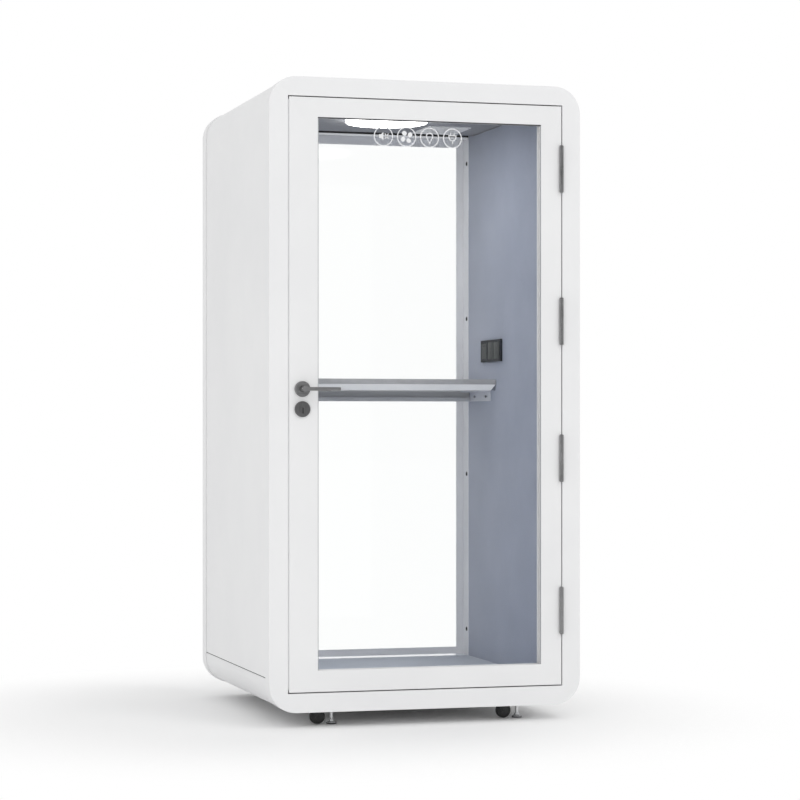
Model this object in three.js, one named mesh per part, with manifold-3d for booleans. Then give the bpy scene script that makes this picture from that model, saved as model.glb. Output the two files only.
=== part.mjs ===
// Acoustic office pod for one person: a rounded steel shell on castors and levelling feet, lined with felt,
// with a glazed door, a rear window, a fixed desk, a ceiling light, an extract fan and a wall plate.
// Millimetres, +Z up, the door faces -Y. The origin lies on the floor under the middle of the bounding box.

import * as THREE from "three";
import { mergeVertices } from "three/addons/utils/BufferGeometryUtils.js";
import Module from "manifold-3d";

// Body envelope
const POD_WIDTH = 1060;
const POD_DEPTH = 1060;
const BODY_HEIGHT = 2050;
const GROUND_GAP = 50;
const CORNER_RADIUS = 90;

// Clearance between pieces that seat on each other, and beside pieces that move
const FIT = 0.3;
const RUN = 0.5;

// End frames, each folded as an open channel
const FRONT_BAND = 62;
const REAR_BAND = 52;
const RING_DEPTH = 56;
const RING_WALL = 4;

// Outer skin; the seam parts the side panels from the base
const SKIN_INSET = 3;
const SKIN_THICK = 2;
const SEAM_RISE = 109;
const SEAM_GAP = 3;

// Lining of the cabin
const STOP_WIDTH = 16;
const STOP_DEPTH = 40;
const SILL_RISE = 15;
const SILL_LIP = 2;
const FELT_THICK = 10;
const CARPET_THICK = 8;
const CEILING_THICK = 10;
const CEILING_GAP = 6;
const CEILING_REAR_GAP = 60;
const ROOF_VOID = 45;

// Rear window
const REAR_REVEAL = 64;
const BEAD_THICK = 5;
const BEAD_BAND = 26;
const BEAD_TOP = 32;
const REAR_GLASS_THICK = 10;
const REAR_GLASS_RECESS = 5;
const REAR_GLASS_GAP = 3;
const LINER_SCREWS = 4;
const LINER_SCREW_RADIUS = 6.5;
const LINER_SCREW_DEPTH = 8;
const LINER_SCREW_INSET = 20;
const LINER_SCREW_END = 95;

// Door
const DOOR_GAP = 4;
const DOOR_THICK = 45;
const LOCK_STILE = 95;
const HINGE_STILE = 71;
const TOP_RAIL = 63;
const BOTTOM_RAIL = 69;
const DOOR_GLASS_THICK = 10;
const DOOR_GLASS_SETBACK = 20;
const DOOR_GLASS_BITE = 12;
const SEAL_WIDTH = 10;
const SEAL_THICK = 3.7;

// Lift-off hinges; the end hinges are placed from the door's edges and the inner ones a pitch from those
const HINGE_LENGTH = 154;
const BARREL_RADIUS = 7;
const BARREL_INSET = 1.5;
const HINGE_PIN_RADIUS = 3.5;
const HINGE_PIN_RISE = 36;
const LEAF_REACH = 36;
const HINGE_TOP = 208;
const HINGE_BOTTOM = 246;
const HINGE_PITCH = 505;

// Lever handle and lock
const HANDLE_RISE = 977;
const BACKSET = 43;
const LOCK_DROP = 65;
const ROSE_RADIUS = 25.5;
const ROSE_THICK = 9;
const ROSE_EDGE = 2;
const NECK_RADIUS = 9.5;
const LEVER_PROJECTION = 47;
const LEVER_LENGTH = 117;
const LEVER_HEIGHT = 11.5;
const LEVER_THICK = 9;
const LEVER_CORNER = 3;
const LEVER_CAP = 2;
const SPINDLE_SIDE = 8;
const SPINDLE_GRIP = 20;
const LOCK_CASE_DEPTH = 64;
const LOCK_CASE_THICK = 16;
const LOCK_CASE_MARGIN = 45;
const FOREND_WIDTH = 22;
const FOREND_THICK = 3;
const FOREND_MARGIN = 20;
const LATCH_THROW = 11;
const LATCH_TAIL = 24;
const LATCH_HEIGHT = 14;
const LATCH_WIDTH = 12;
const STRIKE_WIDTH = 26;
const STRIKE_HEIGHT = 80;
const KEY_PLUG_RADIUS = 8.5;
const KEY_PLUG_RISE = 2.5;
const KEYWAY_WIDTH = 3;
const KEYWAY_HEIGHT = 11;
const KEYWAY_DEPTH = 7;
const TURN_SHAFT_RADIUS = 4;
const TURN_BAR_LENGTH = 30;
const TURN_BAR_THICK = 8;
const TURN_BAR_RISE = 15;

// Desk with a bevelled lower front edge, on a rear rail and two wall brackets
const DESK_RISE = 1013;
const DESK_DEPTH = 322;
const DESK_EDGE = 18;
const DESK_BEVEL_HEIGHT = 21;
const DESK_BEVEL_DEPTH = 10;
const DESK_REAR_GAP = 2;
const RAIL_HEIGHT = 37;
const RAIL_WEB = 13;
const RAIL_LIP_DEPTH = 20;
const RAIL_LIP_HEIGHT = 14;
const BRACKET_LENGTH = 231;
const BRACKET_PLATE = 4;
const BRACKET_FLANGE = 40;
const BRACKET_SLOT_LENGTH = 36;
const BRACKET_SLOT_HEIGHT = 6;
const BRACKET_SLOT_INSET = 44;
const BRACKET_SLOT_PITCH = 134;

// Wall plate: a single module with a rocker beside a double module
const PLATE_SINGLE = 78;
const PLATE_DOUBLE = 142;
const PLATE_HEIGHT = 78;
const PLATE_THICK = 9;
const PLATE_RISE = 103;
const PLATE_REAR_INSET = 176;
const PLATE_GROOVE = 2;
const PLATE_GROOVE_DEPTH = 3;
const ROCKER_SIDE = 54;
const ROCKER_THICK = 4;
const ROCKER_POCKET = 7;
const ROCKER_PROUD = 0.8;
const ROCKER_PIN_RADIUS = 1.5;
const ROCKER_PIN_LENGTH = 3;

// Ceiling light, vent and fan; the vent is placed from the right wall and the rear window
const LIGHT_RADIUS = 142;
const LIGHT_THICK = 15;
const LIGHT_EDGE = 3;
const LIGHT_X = 8;
const LIGHT_Y = -10;
const VENT_WIDTH = 160;
const VENT_LENGTH = 200;
const VENT_THICK = 4;
const VENT_RIM = 14;
const VENT_SLOT = 8;
const VENT_BAR = 8;
const VENT_WALL_GAP = 87;
const VENT_REAR_GAP = 105;
const FAN_RIM = 12;
const FAN_HEADROOM = 7;
const FAN_TOP_PLATE = 4;
const FAN_TIP_GAP = 3;
const FAN_HUB_RADIUS = 20;
const FAN_HUB_HEIGHT = 16;
const FAN_SHAFT_RADIUS = 3;
const FAN_SHAFT_GRIP = 6;
const FAN_BOSS_RADIUS = 14;
const FAN_BOSS_DROP = 5;
const FAN_BLADES = 7;
const FAN_BLADE_CHORD = 22;
const FAN_BLADE_THICK = 2.5;
const FAN_BLADE_PITCH = 30;
const FAN_OUTLETS = 4;
const FAN_OUTLET_RADIUS = 14;

// Castors and levelling feet, in four sets
const SET_INSET_X = 210;
const SET_INSET_Y = 98;
const CASTOR_OFFSET = 45;
const CASTOR_TRAIL = 18;
const WHEEL_RADIUS = 25;
const WHEEL_WIDTH = 20;
const WHEEL_EDGE = 4;
const WHEEL_LIFT = 1;
const AXLE_RADIUS = 3;
const YOKE_ARM = 3;
const YOKE_END_RADIUS = 9;
const YOKE_CROWN = 7;
const YOKE_HEAD_RADIUS = 14;
const YOKE_STEM_RADIUS = 6;
const YOKE_STEM_LENGTH = 26;
const FOOT_CLEAR = 5;
const FOOT_PAD_RADIUS = 16;
const FOOT_PAD_HEIGHT = 10;
const FOOT_PAD_EDGE = 4;
const FOOT_NUT_RADIUS = 9;
const FOOT_NUT_HEIGHT = 5;
const FOOT_STEM_RADIUS = 5;
const FOOT_STEM_COVER = 19;
const FOOT_TRAVEL_UP = 10;

// Facets on each quarter of a rounded outline, and round a turned piece
const CORNER_STEPS = 12;
const FINE_FACETS = 32;
const SMALL_FACETS = 20;

// How far a cutting tool runs past the face it opens
const PAST = 1;

// Levels and faces of the body, worked out from the sizes above
const halfWidth = POD_WIDTH / 2;
const front = -POD_DEPTH / 2;
const rear = POD_DEPTH / 2;
const bottom = GROUND_GAP;
const top = GROUND_GAP + BODY_HEIGHT;
const openHalf = halfWidth - FRONT_BAND;
const openLow = bottom + FRONT_BAND;
const openHigh = top - FRONT_BAND;
const frontRingBack = front + RING_DEPTH;
const rearRingFront = rear - RING_DEPTH;
const rearOpenHalf = halfWidth - REAR_BAND;
const rearOpenLow = bottom + REAR_BAND;
const rearOpenHigh = top - REAR_BAND;
const skinFront = frontRingBack + FIT;
const skinRear = rearRingFront - FIT;
const coreInset = SKIN_INSET + SKIN_THICK + FIT;

// Inside faces of the cabin
const feltFace = openHalf - STOP_WIDTH;
const floorTop = openLow + SILL_RISE;
const deckTop = floorTop - CARPET_THICK - FIT;
const roofCoreLow = top - coreInset - ROOF_VOID;
const ceilingTop = roofCoreLow - FIT;
const ceilingLow = ceilingTop - CEILING_THICK;

// Stations from the front to the rear
const doorBack = front + DOOR_THICK;
const stopFront = doorBack + FIT + SEAL_THICK + FIT;
const stopBack = stopFront + STOP_DEPTH;
const rearGlassBack = rear - REAR_GLASS_RECESS;
const rearGlassFront = rearGlassBack - REAR_GLASS_THICK;
const beadBack = rearGlassFront - FIT;
const beadFront = beadBack - BEAD_THICK;
const revealBack = beadFront - FIT;
const revealFront = revealBack - REAR_REVEAL;
const liningFront = stopBack + FIT;
const liningRear = revealFront - FIT;

// Door edges, handle and hinge axes
const doorHalf = openHalf - DOOR_GAP;
const doorLow = openLow + DOOR_GAP;
const doorHigh = openHigh - DOOR_GAP;
const doorMiddle = front + DOOR_THICK / 2;
const handleX = -doorHalf + BACKSET;
const handleZ = doorLow + HANDLE_RISE;
const lockZ = handleZ - LOCK_DROP;
const hingeX = doorHalf - BARREL_INSET;
const hingeY = front - BARREL_RADIUS - RUN;
const leafThick = DOOR_GAP - FIT - RUN;
const hingeHeights = [
  doorHigh - HINGE_TOP,
  doorHigh - HINGE_TOP - HINGE_PITCH,
  doorLow + HINGE_BOTTOM + HINGE_PITCH,
  doorLow + HINGE_BOTTOM,
];

// Desk levels
const deskTop = floorTop + DESK_RISE;
const deskBottom = deskTop - DESK_EDGE - DESK_BEVEL_HEIGHT;
const deskRear = revealFront - DESK_REAR_GAP;
const deskFront = deskRear - DESK_DEPTH;
const supportTop = deskBottom - FIT;
const supportLow = supportTop - RAIL_HEIGHT;
const railFront = liningRear - RAIL_WEB - RAIL_LIP_DEPTH;

// Vent and fan centre
const ventX = feltFace - VENT_WALL_GAP - VENT_WIDTH / 2;
const ventY = revealFront - VENT_REAR_GAP - VENT_LENGTH / 2;
const ventHoleX = VENT_WIDTH / 2 - VENT_RIM;
const ventHoleY = VENT_LENGTH / 2 - VENT_RIM;
const fanLow = ceilingTop + FIT;
const fanHigh = fanLow + ROOF_VOID - FAN_HEADROOM;
const fanBore = ventHoleX - FAN_RIM / 2;

// Castor levels and the circle that a swivelling castor sweeps
const deckLow = bottom + coreInset;
const axleZ = WHEEL_LIFT + WHEEL_RADIUS;
const yokeHalf = WHEEL_WIDTH / 2 + RUN + YOKE_ARM;
const crownLow = axleZ + WHEEL_RADIUS + RUN;
const pocketTop = Math.max(crownLow + YOKE_CROWN, deckLow) + FIT;
const castorSweep = Math.hypot(CASTOR_TRAIL + WHEEL_RADIUS, yokeHalf);
const pocketRadius = Math.hypot(CASTOR_TRAIL + YOKE_END_RADIUS, yokeHalf) + RUN;
const footOffset = castorSweep + FOOT_CLEAR + FOOT_PAD_RADIUS - CASTOR_OFFSET;
const footTop = deckTop - FOOT_STEM_COVER;

const wasm = await Module();
wasm.setup();

// Finishes
function finish(color, roughness, metalness = 0) {
  return new THREE.MeshStandardMaterial({ color, roughness, metalness });
}
const whiteCoat = finish(0xececec, 0.45, 0.1);
const paleAluminium = finish(0xc4c7cc, 0.4, 0.6);
const feltGrey = finish(0x8f97a5, 0.95);
const carpetGrey = finish(0x868d98, 1);
const coreDark = finish(0x3a3b3d, 1);
const deckWood = finish(0x6b5b48, 0.8);
const darkMetal = finish(0x5e5e60, 0.4, 0.8);
const brightSteel = finish(0xc9cbcd, 0.25, 1);
const blackPlastic = finish(0x262626, 0.6);
const wheelBlack = finish(0x1d1d1d, 0.7);
const sealBlack = finish(0x1a1a1a, 0.9);
const deskGrey = finish(0xb0b3b7, 0.5);
const plateBlack = finish(0x54585a, 0.35);
const lampWhite = finish(0xfffdf8, 0.6);
const ventGrey = finish(0xb9bcc4, 0.5);
const glassClear = new THREE.MeshStandardMaterial({
  color: 0xeef4f4,
  roughness: 0.05,
  transparent: true,
  opacity: 0.25,
});

// Geometry to solid and back, for joins and cuts
function solidOf(geometry) {
  const bare = geometry.clone();
  bare.deleteAttribute("normal");
  bare.deleteAttribute("uv");
  const merged = mergeVertices(bare, 1e-4);
  const corners = merged.index.array;
  const kept = [];
  for (let i = 0; i < corners.length; i += 3) {
    const [a, b, c] = corners.slice(i, i + 3);
    if (a !== b && b !== c && c !== a) kept.push(a, b, c);
  }
  const mesh = new wasm.Mesh({
    numProp: 3,
    vertProperties: new Float32Array(merged.getAttribute("position").array),
    triVerts: new Uint32Array(kept),
  });
  return new wasm.Manifold(mesh);
}

function geometryOf(solid) {
  const mesh = solid.getMesh();
  const geometry = new THREE.BufferGeometry();
  geometry.setAttribute("position", new THREE.BufferAttribute(mesh.vertProperties, 3));
  geometry.setIndex(new THREE.BufferAttribute(mesh.triVerts, 1));
  geometry.computeVertexNormals();
  return geometry;
}

function join(first, ...others) {
  return geometryOf(others.reduce((sum, other) => sum.add(solidOf(other)), solidOf(first)));
}

function cut(first, ...tools) {
  return geometryOf(tools.reduce((rest, tool) => rest.subtract(solidOf(tool)), solidOf(first)));
}

function common(first, second) {
  return geometryOf(solidOf(first).intersect(solidOf(second)));
}

// Basic shapes, given by their faces
function box([x0, x1], [y0, y1], [z0, z1]) {
  const geometry = new THREE.BoxGeometry(x1 - x0, y1 - y0, z1 - z0);
  return geometry.translate((x0 + x1) / 2, (y0 + y1) / 2, (z0 + z1) / 2);
}

// An outline pulled along an axis. Its points are (Y, Z) along x, (X, Z) along y and (X, Y) along z.
function prism(axis, outline, from, to, holes = []) {
  const shape = new THREE.Shape(outline);
  shape.holes = holes.map((hole) => new THREE.Path(hole));
  const geometry = new THREE.ExtrudeGeometry(shape, { depth: to - from, bevelEnabled: false });
  const [x, y, z] = [new THREE.Vector3(1, 0, 0), new THREE.Vector3(0, 1, 0), new THREE.Vector3(0, 0, 1)];
  if (axis === "x") {
    geometry.applyMatrix4(new THREE.Matrix4().makeBasis(y, z, x)).translate(from, 0, 0);
  } else if (axis === "y") {
    geometry.applyMatrix4(new THREE.Matrix4().makeBasis(x, z, y.clone().negate())).translate(0, to, 0);
  } else {
    geometry.translate(0, 0, from);
  }
  return geometry;
}

// A profile of [radius, station] points turned about an axis through (a, b), its two other coordinates.
function turned(axis, profile, a, b, facets = SMALL_FACETS) {
  const points = profile.map(([radius, station]) => new THREE.Vector2(radius, station));
  if (THREE.ShapeUtils.area(points) < 0) points.reverse();
  const geometry = new THREE.LatheGeometry(points, facets);
  if (axis === "x") return geometry.rotateZ(-Math.PI / 2).translate(0, a, b);
  if (axis === "y") return geometry.translate(a, 0, b);
  return geometry.rotateX(Math.PI / 2).translate(a, b, 0);
}

function rod(axis, radius, from, to, a, b, facets = SMALL_FACETS) {
  const profile = [
    [0, from],
    [radius, from],
    [radius, to],
    [0, to],
  ];
  return turned(axis, profile, a, b, facets);
}

function points(...pairs) {
  return pairs.map(([u, v]) => new THREE.Vector2(u, v));
}

function arc(u, v, radius, startDegrees, endDegrees, steps = CORNER_STEPS) {
  return Array.from({ length: steps + 1 }, (_, i) => {
    const angle = THREE.MathUtils.degToRad(startDegrees + ((endDegrees - startDegrees) * i) / steps);
    return new THREE.Vector2(u + radius * Math.cos(angle), v + radius * Math.sin(angle));
  });
}

function rectangle(u0, u1, v0, v1) {
  return points([u0, v0], [u1, v0], [u1, v1], [u0, v1]);
}

function rounded(u0, u1, v0, v1, radius, steps = CORNER_STEPS) {
  return [
    ...arc(u1 - radius, v0 + radius, radius, -90, 0, steps),
    ...arc(u1 - radius, v1 - radius, radius, 0, 90, steps),
    ...arc(u0 + radius, v1 - radius, radius, 90, 180, steps),
    ...arc(u0 + radius, v0 + radius, radius, 180, 270, steps),
  ];
}

// The body's front outline, drawn in by an inset all round
function bodyOutline(inset) {
  const radius = CORNER_RADIUS - inset;
  return rounded(-halfWidth + inset, halfWidth - inset, bottom + inset, top - inset, radius);
}

// A rectangular frame across the cabin
function openFrame(outer, inner, from, to) {
  return prism("y", rectangle(...outer), from, to, [rectangle(...inner)]);
}

// Shell
function ringFrame(from, to, open, channelFrom, channelTo) {
  const [u0, u1, v0, v1] = open;
  const lip = rectangle(u0 - RING_WALL, u1 + RING_WALL, v0 - RING_WALL, v1 + RING_WALL);
  const ring = prism("y", bodyOutline(0), from, to, [rectangle(...open)]);
  return cut(ring, prism("y", bodyOutline(RING_WALL), channelFrom, channelTo, [lip]));
}

function latchTunnel(from, to, clearance) {
  const halfLatch = LATCH_WIDTH / 2 + clearance;
  const halfHeight = LATCH_HEIGHT / 2 + clearance;
  const across = [doorMiddle - halfLatch, doorMiddle + halfLatch];
  return box([from, to], across, [handleZ - halfHeight, handleZ + halfHeight]);
}

function frontFrame() {
  const open = [-openHalf, openHalf, openLow, openHigh];
  const ring = ringFrame(front, frontRingBack, open, front + RING_WALL, frontRingBack + PAST);
  return cut(ring, latchTunnel(-openHalf - RING_WALL - PAST, -openHalf + PAST, 2 * RUN));
}

function rearFrame() {
  const open = [-rearOpenHalf, rearOpenHalf, rearOpenLow, rearOpenHigh];
  return ringFrame(rearRingFront, rear, open, rearRingFront - PAST, rear - RING_WALL);
}

// One piece of the skin: the part of the rounded tube that lies inside a block
function skinPiece(acrossX, acrossZ) {
  const outer = bodyOutline(SKIN_INSET);
  const inner = bodyOutline(SKIN_INSET + SKIN_THICK);
  const tube = prism("y", outer, skinFront, skinRear, [inner]);
  return common(tube, box(acrossX, [skinFront - PAST, skinRear + PAST], acrossZ));
}

const seamZ = bottom + SEAM_RISE;
const roofHalf = halfWidth - CORNER_RADIUS;

function sidePanel(side) {
  const faces = [side * (roofHalf + FIT), side * (halfWidth + PAST)].sort((a, b) => a - b);
  return skinPiece(faces, [seamZ + SEAM_GAP / 2, top + PAST]);
}

function roofPanel() {
  return skinPiece([-roofHalf, roofHalf], [(bottom + top) / 2, top + PAST]);
}

function baseShell() {
  const shell = skinPiece([-halfWidth - PAST, halfWidth + PAST], [bottom - PAST, seamZ - SEAM_GAP / 2]);
  return cut(shell, ...runningGearCuts());
}

// Holes in the base for the castors' pockets and stems and for the feet's stems
function runningGearCuts() {
  return runningGearSets().flatMap(({ castorX, footX, y }) => [
    rod("z", pocketRadius, bottom - PAST, pocketTop, castorX, y, FINE_FACETS),
    rod("z", YOKE_STEM_RADIUS + FIT, pocketTop - PAST, pocketTop + YOKE_STEM_LENGTH + FIT, castorX, y),
    rod("z", FOOT_STEM_RADIUS + FIT, bottom - PAST, footTop + FOOT_TRAVEL_UP + FIT, footX, y),
  ]);
}

function runningGearSets() {
  const setX = halfWidth - SET_INSET_X;
  const setY = POD_DEPTH / 2 - SET_INSET_Y;
  return [
    ["front_left", -setX, -setY],
    ["front_right", setX, -setY],
    ["rear_left", -setX, setY],
    ["rear_right", setX, setY],
  ].map(([place, x, y]) => ({ place, y, castorX: x - CASTOR_OFFSET, footX: x + footOffset }));
}

// Insulation and deck: blocks trimmed to the inside of the skin
function coreBlock(acrossX, acrossY, acrossZ) {
  const envelope = prism("y", bodyOutline(coreInset), acrossY[0], acrossY[1]);
  return common(envelope, box(acrossX, [acrossY[0] - PAST, acrossY[1] + PAST], acrossZ));
}

function baseCore() {
  const width = [-halfWidth, halfWidth];
  const deck = coreBlock(width, [skinFront, skinRear], [bottom, deckTop]);
  const frontRebate = box(width, [skinFront - PAST, liningFront], [openLow, deckTop + PAST]);
  const rearRebate = box(width, [liningRear, skinRear + PAST], [rearOpenLow, deckTop + PAST]);
  return cut(deck, frontRebate, rearRebate, ...runningGearCuts());
}

function wallCore(side) {
  const inside = feltFace + FELT_THICK + FIT;
  const faces = [side * inside, side * halfWidth].sort((a, b) => a - b);
  return coreBlock(faces, [liningFront, liningRear], [deckTop + FIT, roofCoreLow - FIT]);
}

function roofCore() {
  const core = coreBlock([-halfWidth, halfWidth], [skinFront, skinRear], [roofCoreLow, top]);
  const bayX = ventHoleX + FAN_RIM + RUN;
  const bayY = ventHoleY + FAN_RIM + RUN;
  const bay = box([ventX - bayX, ventX + bayX], [ventY - bayY, ventY + bayY], [roofCoreLow - PAST, top]);
  return cut(core, bay);
}

// Lining
function feltPanel(side) {
  const faces = [side * feltFace, side * (feltFace + FELT_THICK)].sort((a, b) => a - b);
  return box(faces, [liningFront, liningRear], [deckTop + FIT, roofCoreLow - FIT]);
}

function floorCarpet() {
  const half = feltFace - FIT;
  return box([-half, half], [liningFront, liningRear], [deckTop + FIT, floorTop]);
}

function ceilingPanel() {
  const half = feltFace - CEILING_GAP;
  const panel = box([-half, half], [liningFront, revealFront - CEILING_REAR_GAP], [ceilingLow, ceilingTop]);
  const holeX = [ventX - ventHoleX, ventX + ventHoleX];
  const holeY = [ventY - ventHoleY, ventY + ventHoleY];
  return cut(panel, box(holeX, holeY, [ceilingLow - PAST, ceilingTop + PAST]));
}

function frontLiner() {
  const half = openHalf - FIT;
  const outer = [-half, half, openLow + FIT, openHigh - FIT];
  const inner = [-feltFace, feltFace, floorTop + SILL_LIP, openHigh - STOP_WIDTH];
  return openFrame(outer, inner, stopFront, stopBack);
}

function rearLiner() {
  const half = rearOpenHalf - FIT;
  const outer = [-half, half, rearOpenLow + FIT, rearOpenHigh - FIT];
  const frame = openFrame(outer, [-feltFace, feltFace, floorTop, ceilingLow], revealFront, revealBack);
  const pitch = (ceilingLow - floorTop - 2 * LINER_SCREW_END) / (LINER_SCREWS - 1);
  const y = revealFront + LINER_SCREW_INSET;
  const holes = [-1, 1].flatMap((side) => {
    const ends = [side * (feltFace - PAST), side * (feltFace + LINER_SCREW_DEPTH)].sort((a, b) => a - b);
    return Array.from({ length: LINER_SCREWS }, (_, i) => {
      return rod("x", LINER_SCREW_RADIUS, ends[0], ends[1], y, floorTop + LINER_SCREW_END + i * pitch);
    });
  });
  return cut(frame, ...holes);
}

// Rear window
function rearGlazingBead() {
  const half = rearOpenHalf - FIT;
  const inner = feltFace - BEAD_BAND;
  const outer = [-half, half, rearOpenLow + FIT, rearOpenHigh - FIT];
  return openFrame(outer, [-inner, inner, floorTop + BEAD_BAND, ceilingLow - BEAD_TOP], beadFront, beadBack);
}

function rearGlass() {
  const half = rearOpenHalf - REAR_GLASS_GAP;
  const height = [rearOpenLow + REAR_GLASS_GAP, rearOpenHigh - REAR_GLASS_GAP];
  return box([-half, half], [rearGlassFront, rearGlassBack], height);
}

// Door
const paneX = [-doorHalf + LOCK_STILE, doorHalf - HINGE_STILE];
const paneZ = [doorLow + BOTTOM_RAIL, doorHigh - TOP_RAIL];
const paneY = [front + DOOR_GLASS_SETBACK, front + DOOR_GLASS_SETBACK + DOOR_GLASS_THICK];

function doorPane(grow) {
  const edge = DOOR_GLASS_BITE + grow;
  return box(
    [paneX[0] - edge, paneX[1] + edge],
    [paneY[0] - grow, paneY[1] + grow],
    [paneZ[0] - edge, paneZ[1] + edge],
  );
}

function doorFrame() {
  const frame = openFrame([-doorHalf, doorHalf, doorLow, doorHigh], [...paneX, ...paneZ], front, doorBack);
  const through = [front - PAST, doorBack + PAST];
  const spindleHole = rod("y", NECK_RADIUS, ...through, handleX, handleZ);
  const turnHole = rod("y", KEY_PLUG_RADIUS, ...through, handleX, lockZ);
  return cut(frame, doorPane(FIT), lockBody(FIT), spindleHole, turnHole);
}

function doorSeal() {
  const edge = (doorHalf - feltFace - SEAL_WIDTH) / 2;
  const outer = [-doorHalf + edge, doorHalf - edge, doorLow + edge, doorHigh - edge];
  const inner = [outer[0] + SEAL_WIDTH, outer[1] - SEAL_WIDTH, outer[2] + SEAL_WIDTH, outer[3] - SEAL_WIDTH];
  return openFrame(outer, inner, doorBack + FIT, doorBack + FIT + SEAL_THICK);
}

// Hinges: the frame's half carries the pin, the door's half lifts off it
function hingeHalf(low, high, leafX) {
  const barrel = rod("z", BARREL_RADIUS, low, high, hingeX, hingeY);
  return join(barrel, box(leafX, [hingeY, front + LEAF_REACH], [low, high]));
}

function hingeFrameLeaf(middle) {
  const leafX = [openHalf - FIT - leafThick, openHalf - FIT];
  const half = hingeHalf(middle - HINGE_LENGTH / 2, middle - FIT / 2, leafX);
  const pin = rod("z", HINGE_PIN_RADIUS, middle - HINGE_PIN_RISE, middle + HINGE_PIN_RISE, hingeX, hingeY);
  return join(half, pin);
}

function hingeDoorLeaf(middle) {
  const leafX = [doorHalf + FIT, doorHalf + FIT + leafThick];
  const half = hingeHalf(middle + FIT / 2, middle + HINGE_LENGTH / 2, leafX);
  return cut(half, rod("z", HINGE_PIN_RADIUS + FIT, middle, middle + HINGE_PIN_RISE + FIT, hingeX, hingeY));
}

// Lock: the case with its forend, grown by a clearance when it cuts its own pocket
function lockBody(grow) {
  const halfThick = LOCK_CASE_THICK / 2 + grow;
  const halfForend = FOREND_WIDTH / 2 + grow;
  const low = lockZ - LOCK_CASE_MARGIN - grow;
  const high = handleZ + LOCK_CASE_MARGIN + grow;
  const edge = -doorHalf - (grow > 0 ? PAST : 0);
  const body = box(
    [edge, -doorHalf + LOCK_CASE_DEPTH + grow],
    [doorMiddle - halfThick, doorMiddle + halfThick],
    [low, high],
  );
  const forend = box(
    [edge, -doorHalf + FOREND_THICK + grow],
    [doorMiddle - halfForend, doorMiddle + halfForend],
    [low - FOREND_MARGIN, high + FOREND_MARGIN],
  );
  return join(body, forend);
}

function lockCase() {
  const through = [doorMiddle - LOCK_CASE_THICK, doorMiddle + LOCK_CASE_THICK];
  const spindleHole = rod("y", SPINDLE_SIDE * Math.SQRT1_2 + RUN, ...through, handleX, handleZ);
  const turnHole = rod("y", TURN_SHAFT_RADIUS + FIT, ...through, handleX, lockZ);
  const tunnelEnd = -doorHalf + LATCH_TAIL + LATCH_THROW + RUN;
  return cut(lockBody(0), spindleHole, turnHole, latchTunnel(-doorHalf - PAST, tunnelEnd, FIT));
}

// The latch is bevelled on the side that meets the frame as the door closes
function latchBolt() {
  const tip = -doorHalf - LATCH_THROW;
  const tail = -doorHalf + LATCH_TAIL;
  const y0 = doorMiddle - LATCH_WIDTH / 2;
  const y1 = doorMiddle + LATCH_WIDTH / 2;
  const bevel = LATCH_THROW - RUN;
  const outline = points([tip, y0], [tail, y0], [tail, y1], [tip + bevel, y1], [tip, y0 + RUN]);
  return prism("z", outline, handleZ - LATCH_HEIGHT / 2, handleZ + LATCH_HEIGHT / 2);
}

function strikePlate() {
  const thick = (DOOR_GAP - FIT) / 2;
  const low = -openHalf + FIT;
  const across = [doorMiddle - STRIKE_WIDTH / 2, doorMiddle + STRIKE_WIDTH / 2];
  const plate = box([low, low + thick], across, [handleZ - STRIKE_HEIGHT / 2, handleZ + STRIKE_HEIGHT / 2]);
  return cut(plate, latchTunnel(low - PAST, low + thick + PAST, 2 * RUN));
}

// Stations off the door's outer face (side -1) or inner face (side 1)
function offDoor(side, distance) {
  return (side < 0 ? front : doorBack) + side * distance;
}

function span(side, from, to) {
  return [offDoor(side, from), offDoor(side, to)].sort((a, b) => a - b);
}

function rose(side) {
  const bore = NECK_RADIUS + RUN;
  const profile = [
    [bore, FIT],
    [ROSE_RADIUS, FIT],
    [ROSE_RADIUS, FIT + ROSE_THICK - ROSE_EDGE],
    [ROSE_RADIUS - ROSE_EDGE, FIT + ROSE_THICK],
    [bore, FIT + ROSE_THICK],
    [bore, FIT],
  ].map(([radius, distance]) => [radius, offDoor(side, distance)]);
  return turned("y", profile, handleX, handleZ, FINE_FACETS);
}

function leverGrip(side) {
  const neck = rod("y", NECK_RADIUS, ...span(side, RUN, LEVER_PROJECTION), handleX, handleZ, FINE_FACETS);
  const half = LEVER_HEIGHT / 2;
  const outline = rounded(handleX, handleX + LEVER_LENGTH, handleZ - half, handleZ + half, LEVER_CORNER);
  const barBack = LEVER_PROJECTION - LEVER_CAP - LEVER_THICK;
  return join(neck, prism("y", outline, ...span(side, barBack, LEVER_PROJECTION - LEVER_CAP)));
}

function squareBar(from, to, side) {
  const half = side / 2;
  return box([handleX - half, handleX + half], [from, to], [handleZ - half, handleZ + half]);
}

function outerLever() {
  return join(leverGrip(-1), squareBar(front - SPINDLE_GRIP, doorBack + SPINDLE_GRIP, SPINDLE_SIDE));
}

function innerLever() {
  const socket = squareBar(doorBack, doorBack + SPINDLE_GRIP + FIT, SPINDLE_SIDE + 2 * FIT);
  return cut(leverGrip(1), socket);
}

function discProfile(side) {
  return [
    [0, FIT],
    [ROSE_RADIUS, FIT],
    [ROSE_RADIUS, FIT + ROSE_THICK - ROSE_EDGE],
    [ROSE_RADIUS - ROSE_EDGE, FIT + ROSE_THICK],
    [0, FIT + ROSE_THICK],
  ].map(([radius, distance]) => [radius, offDoor(side, distance)]);
}

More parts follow.
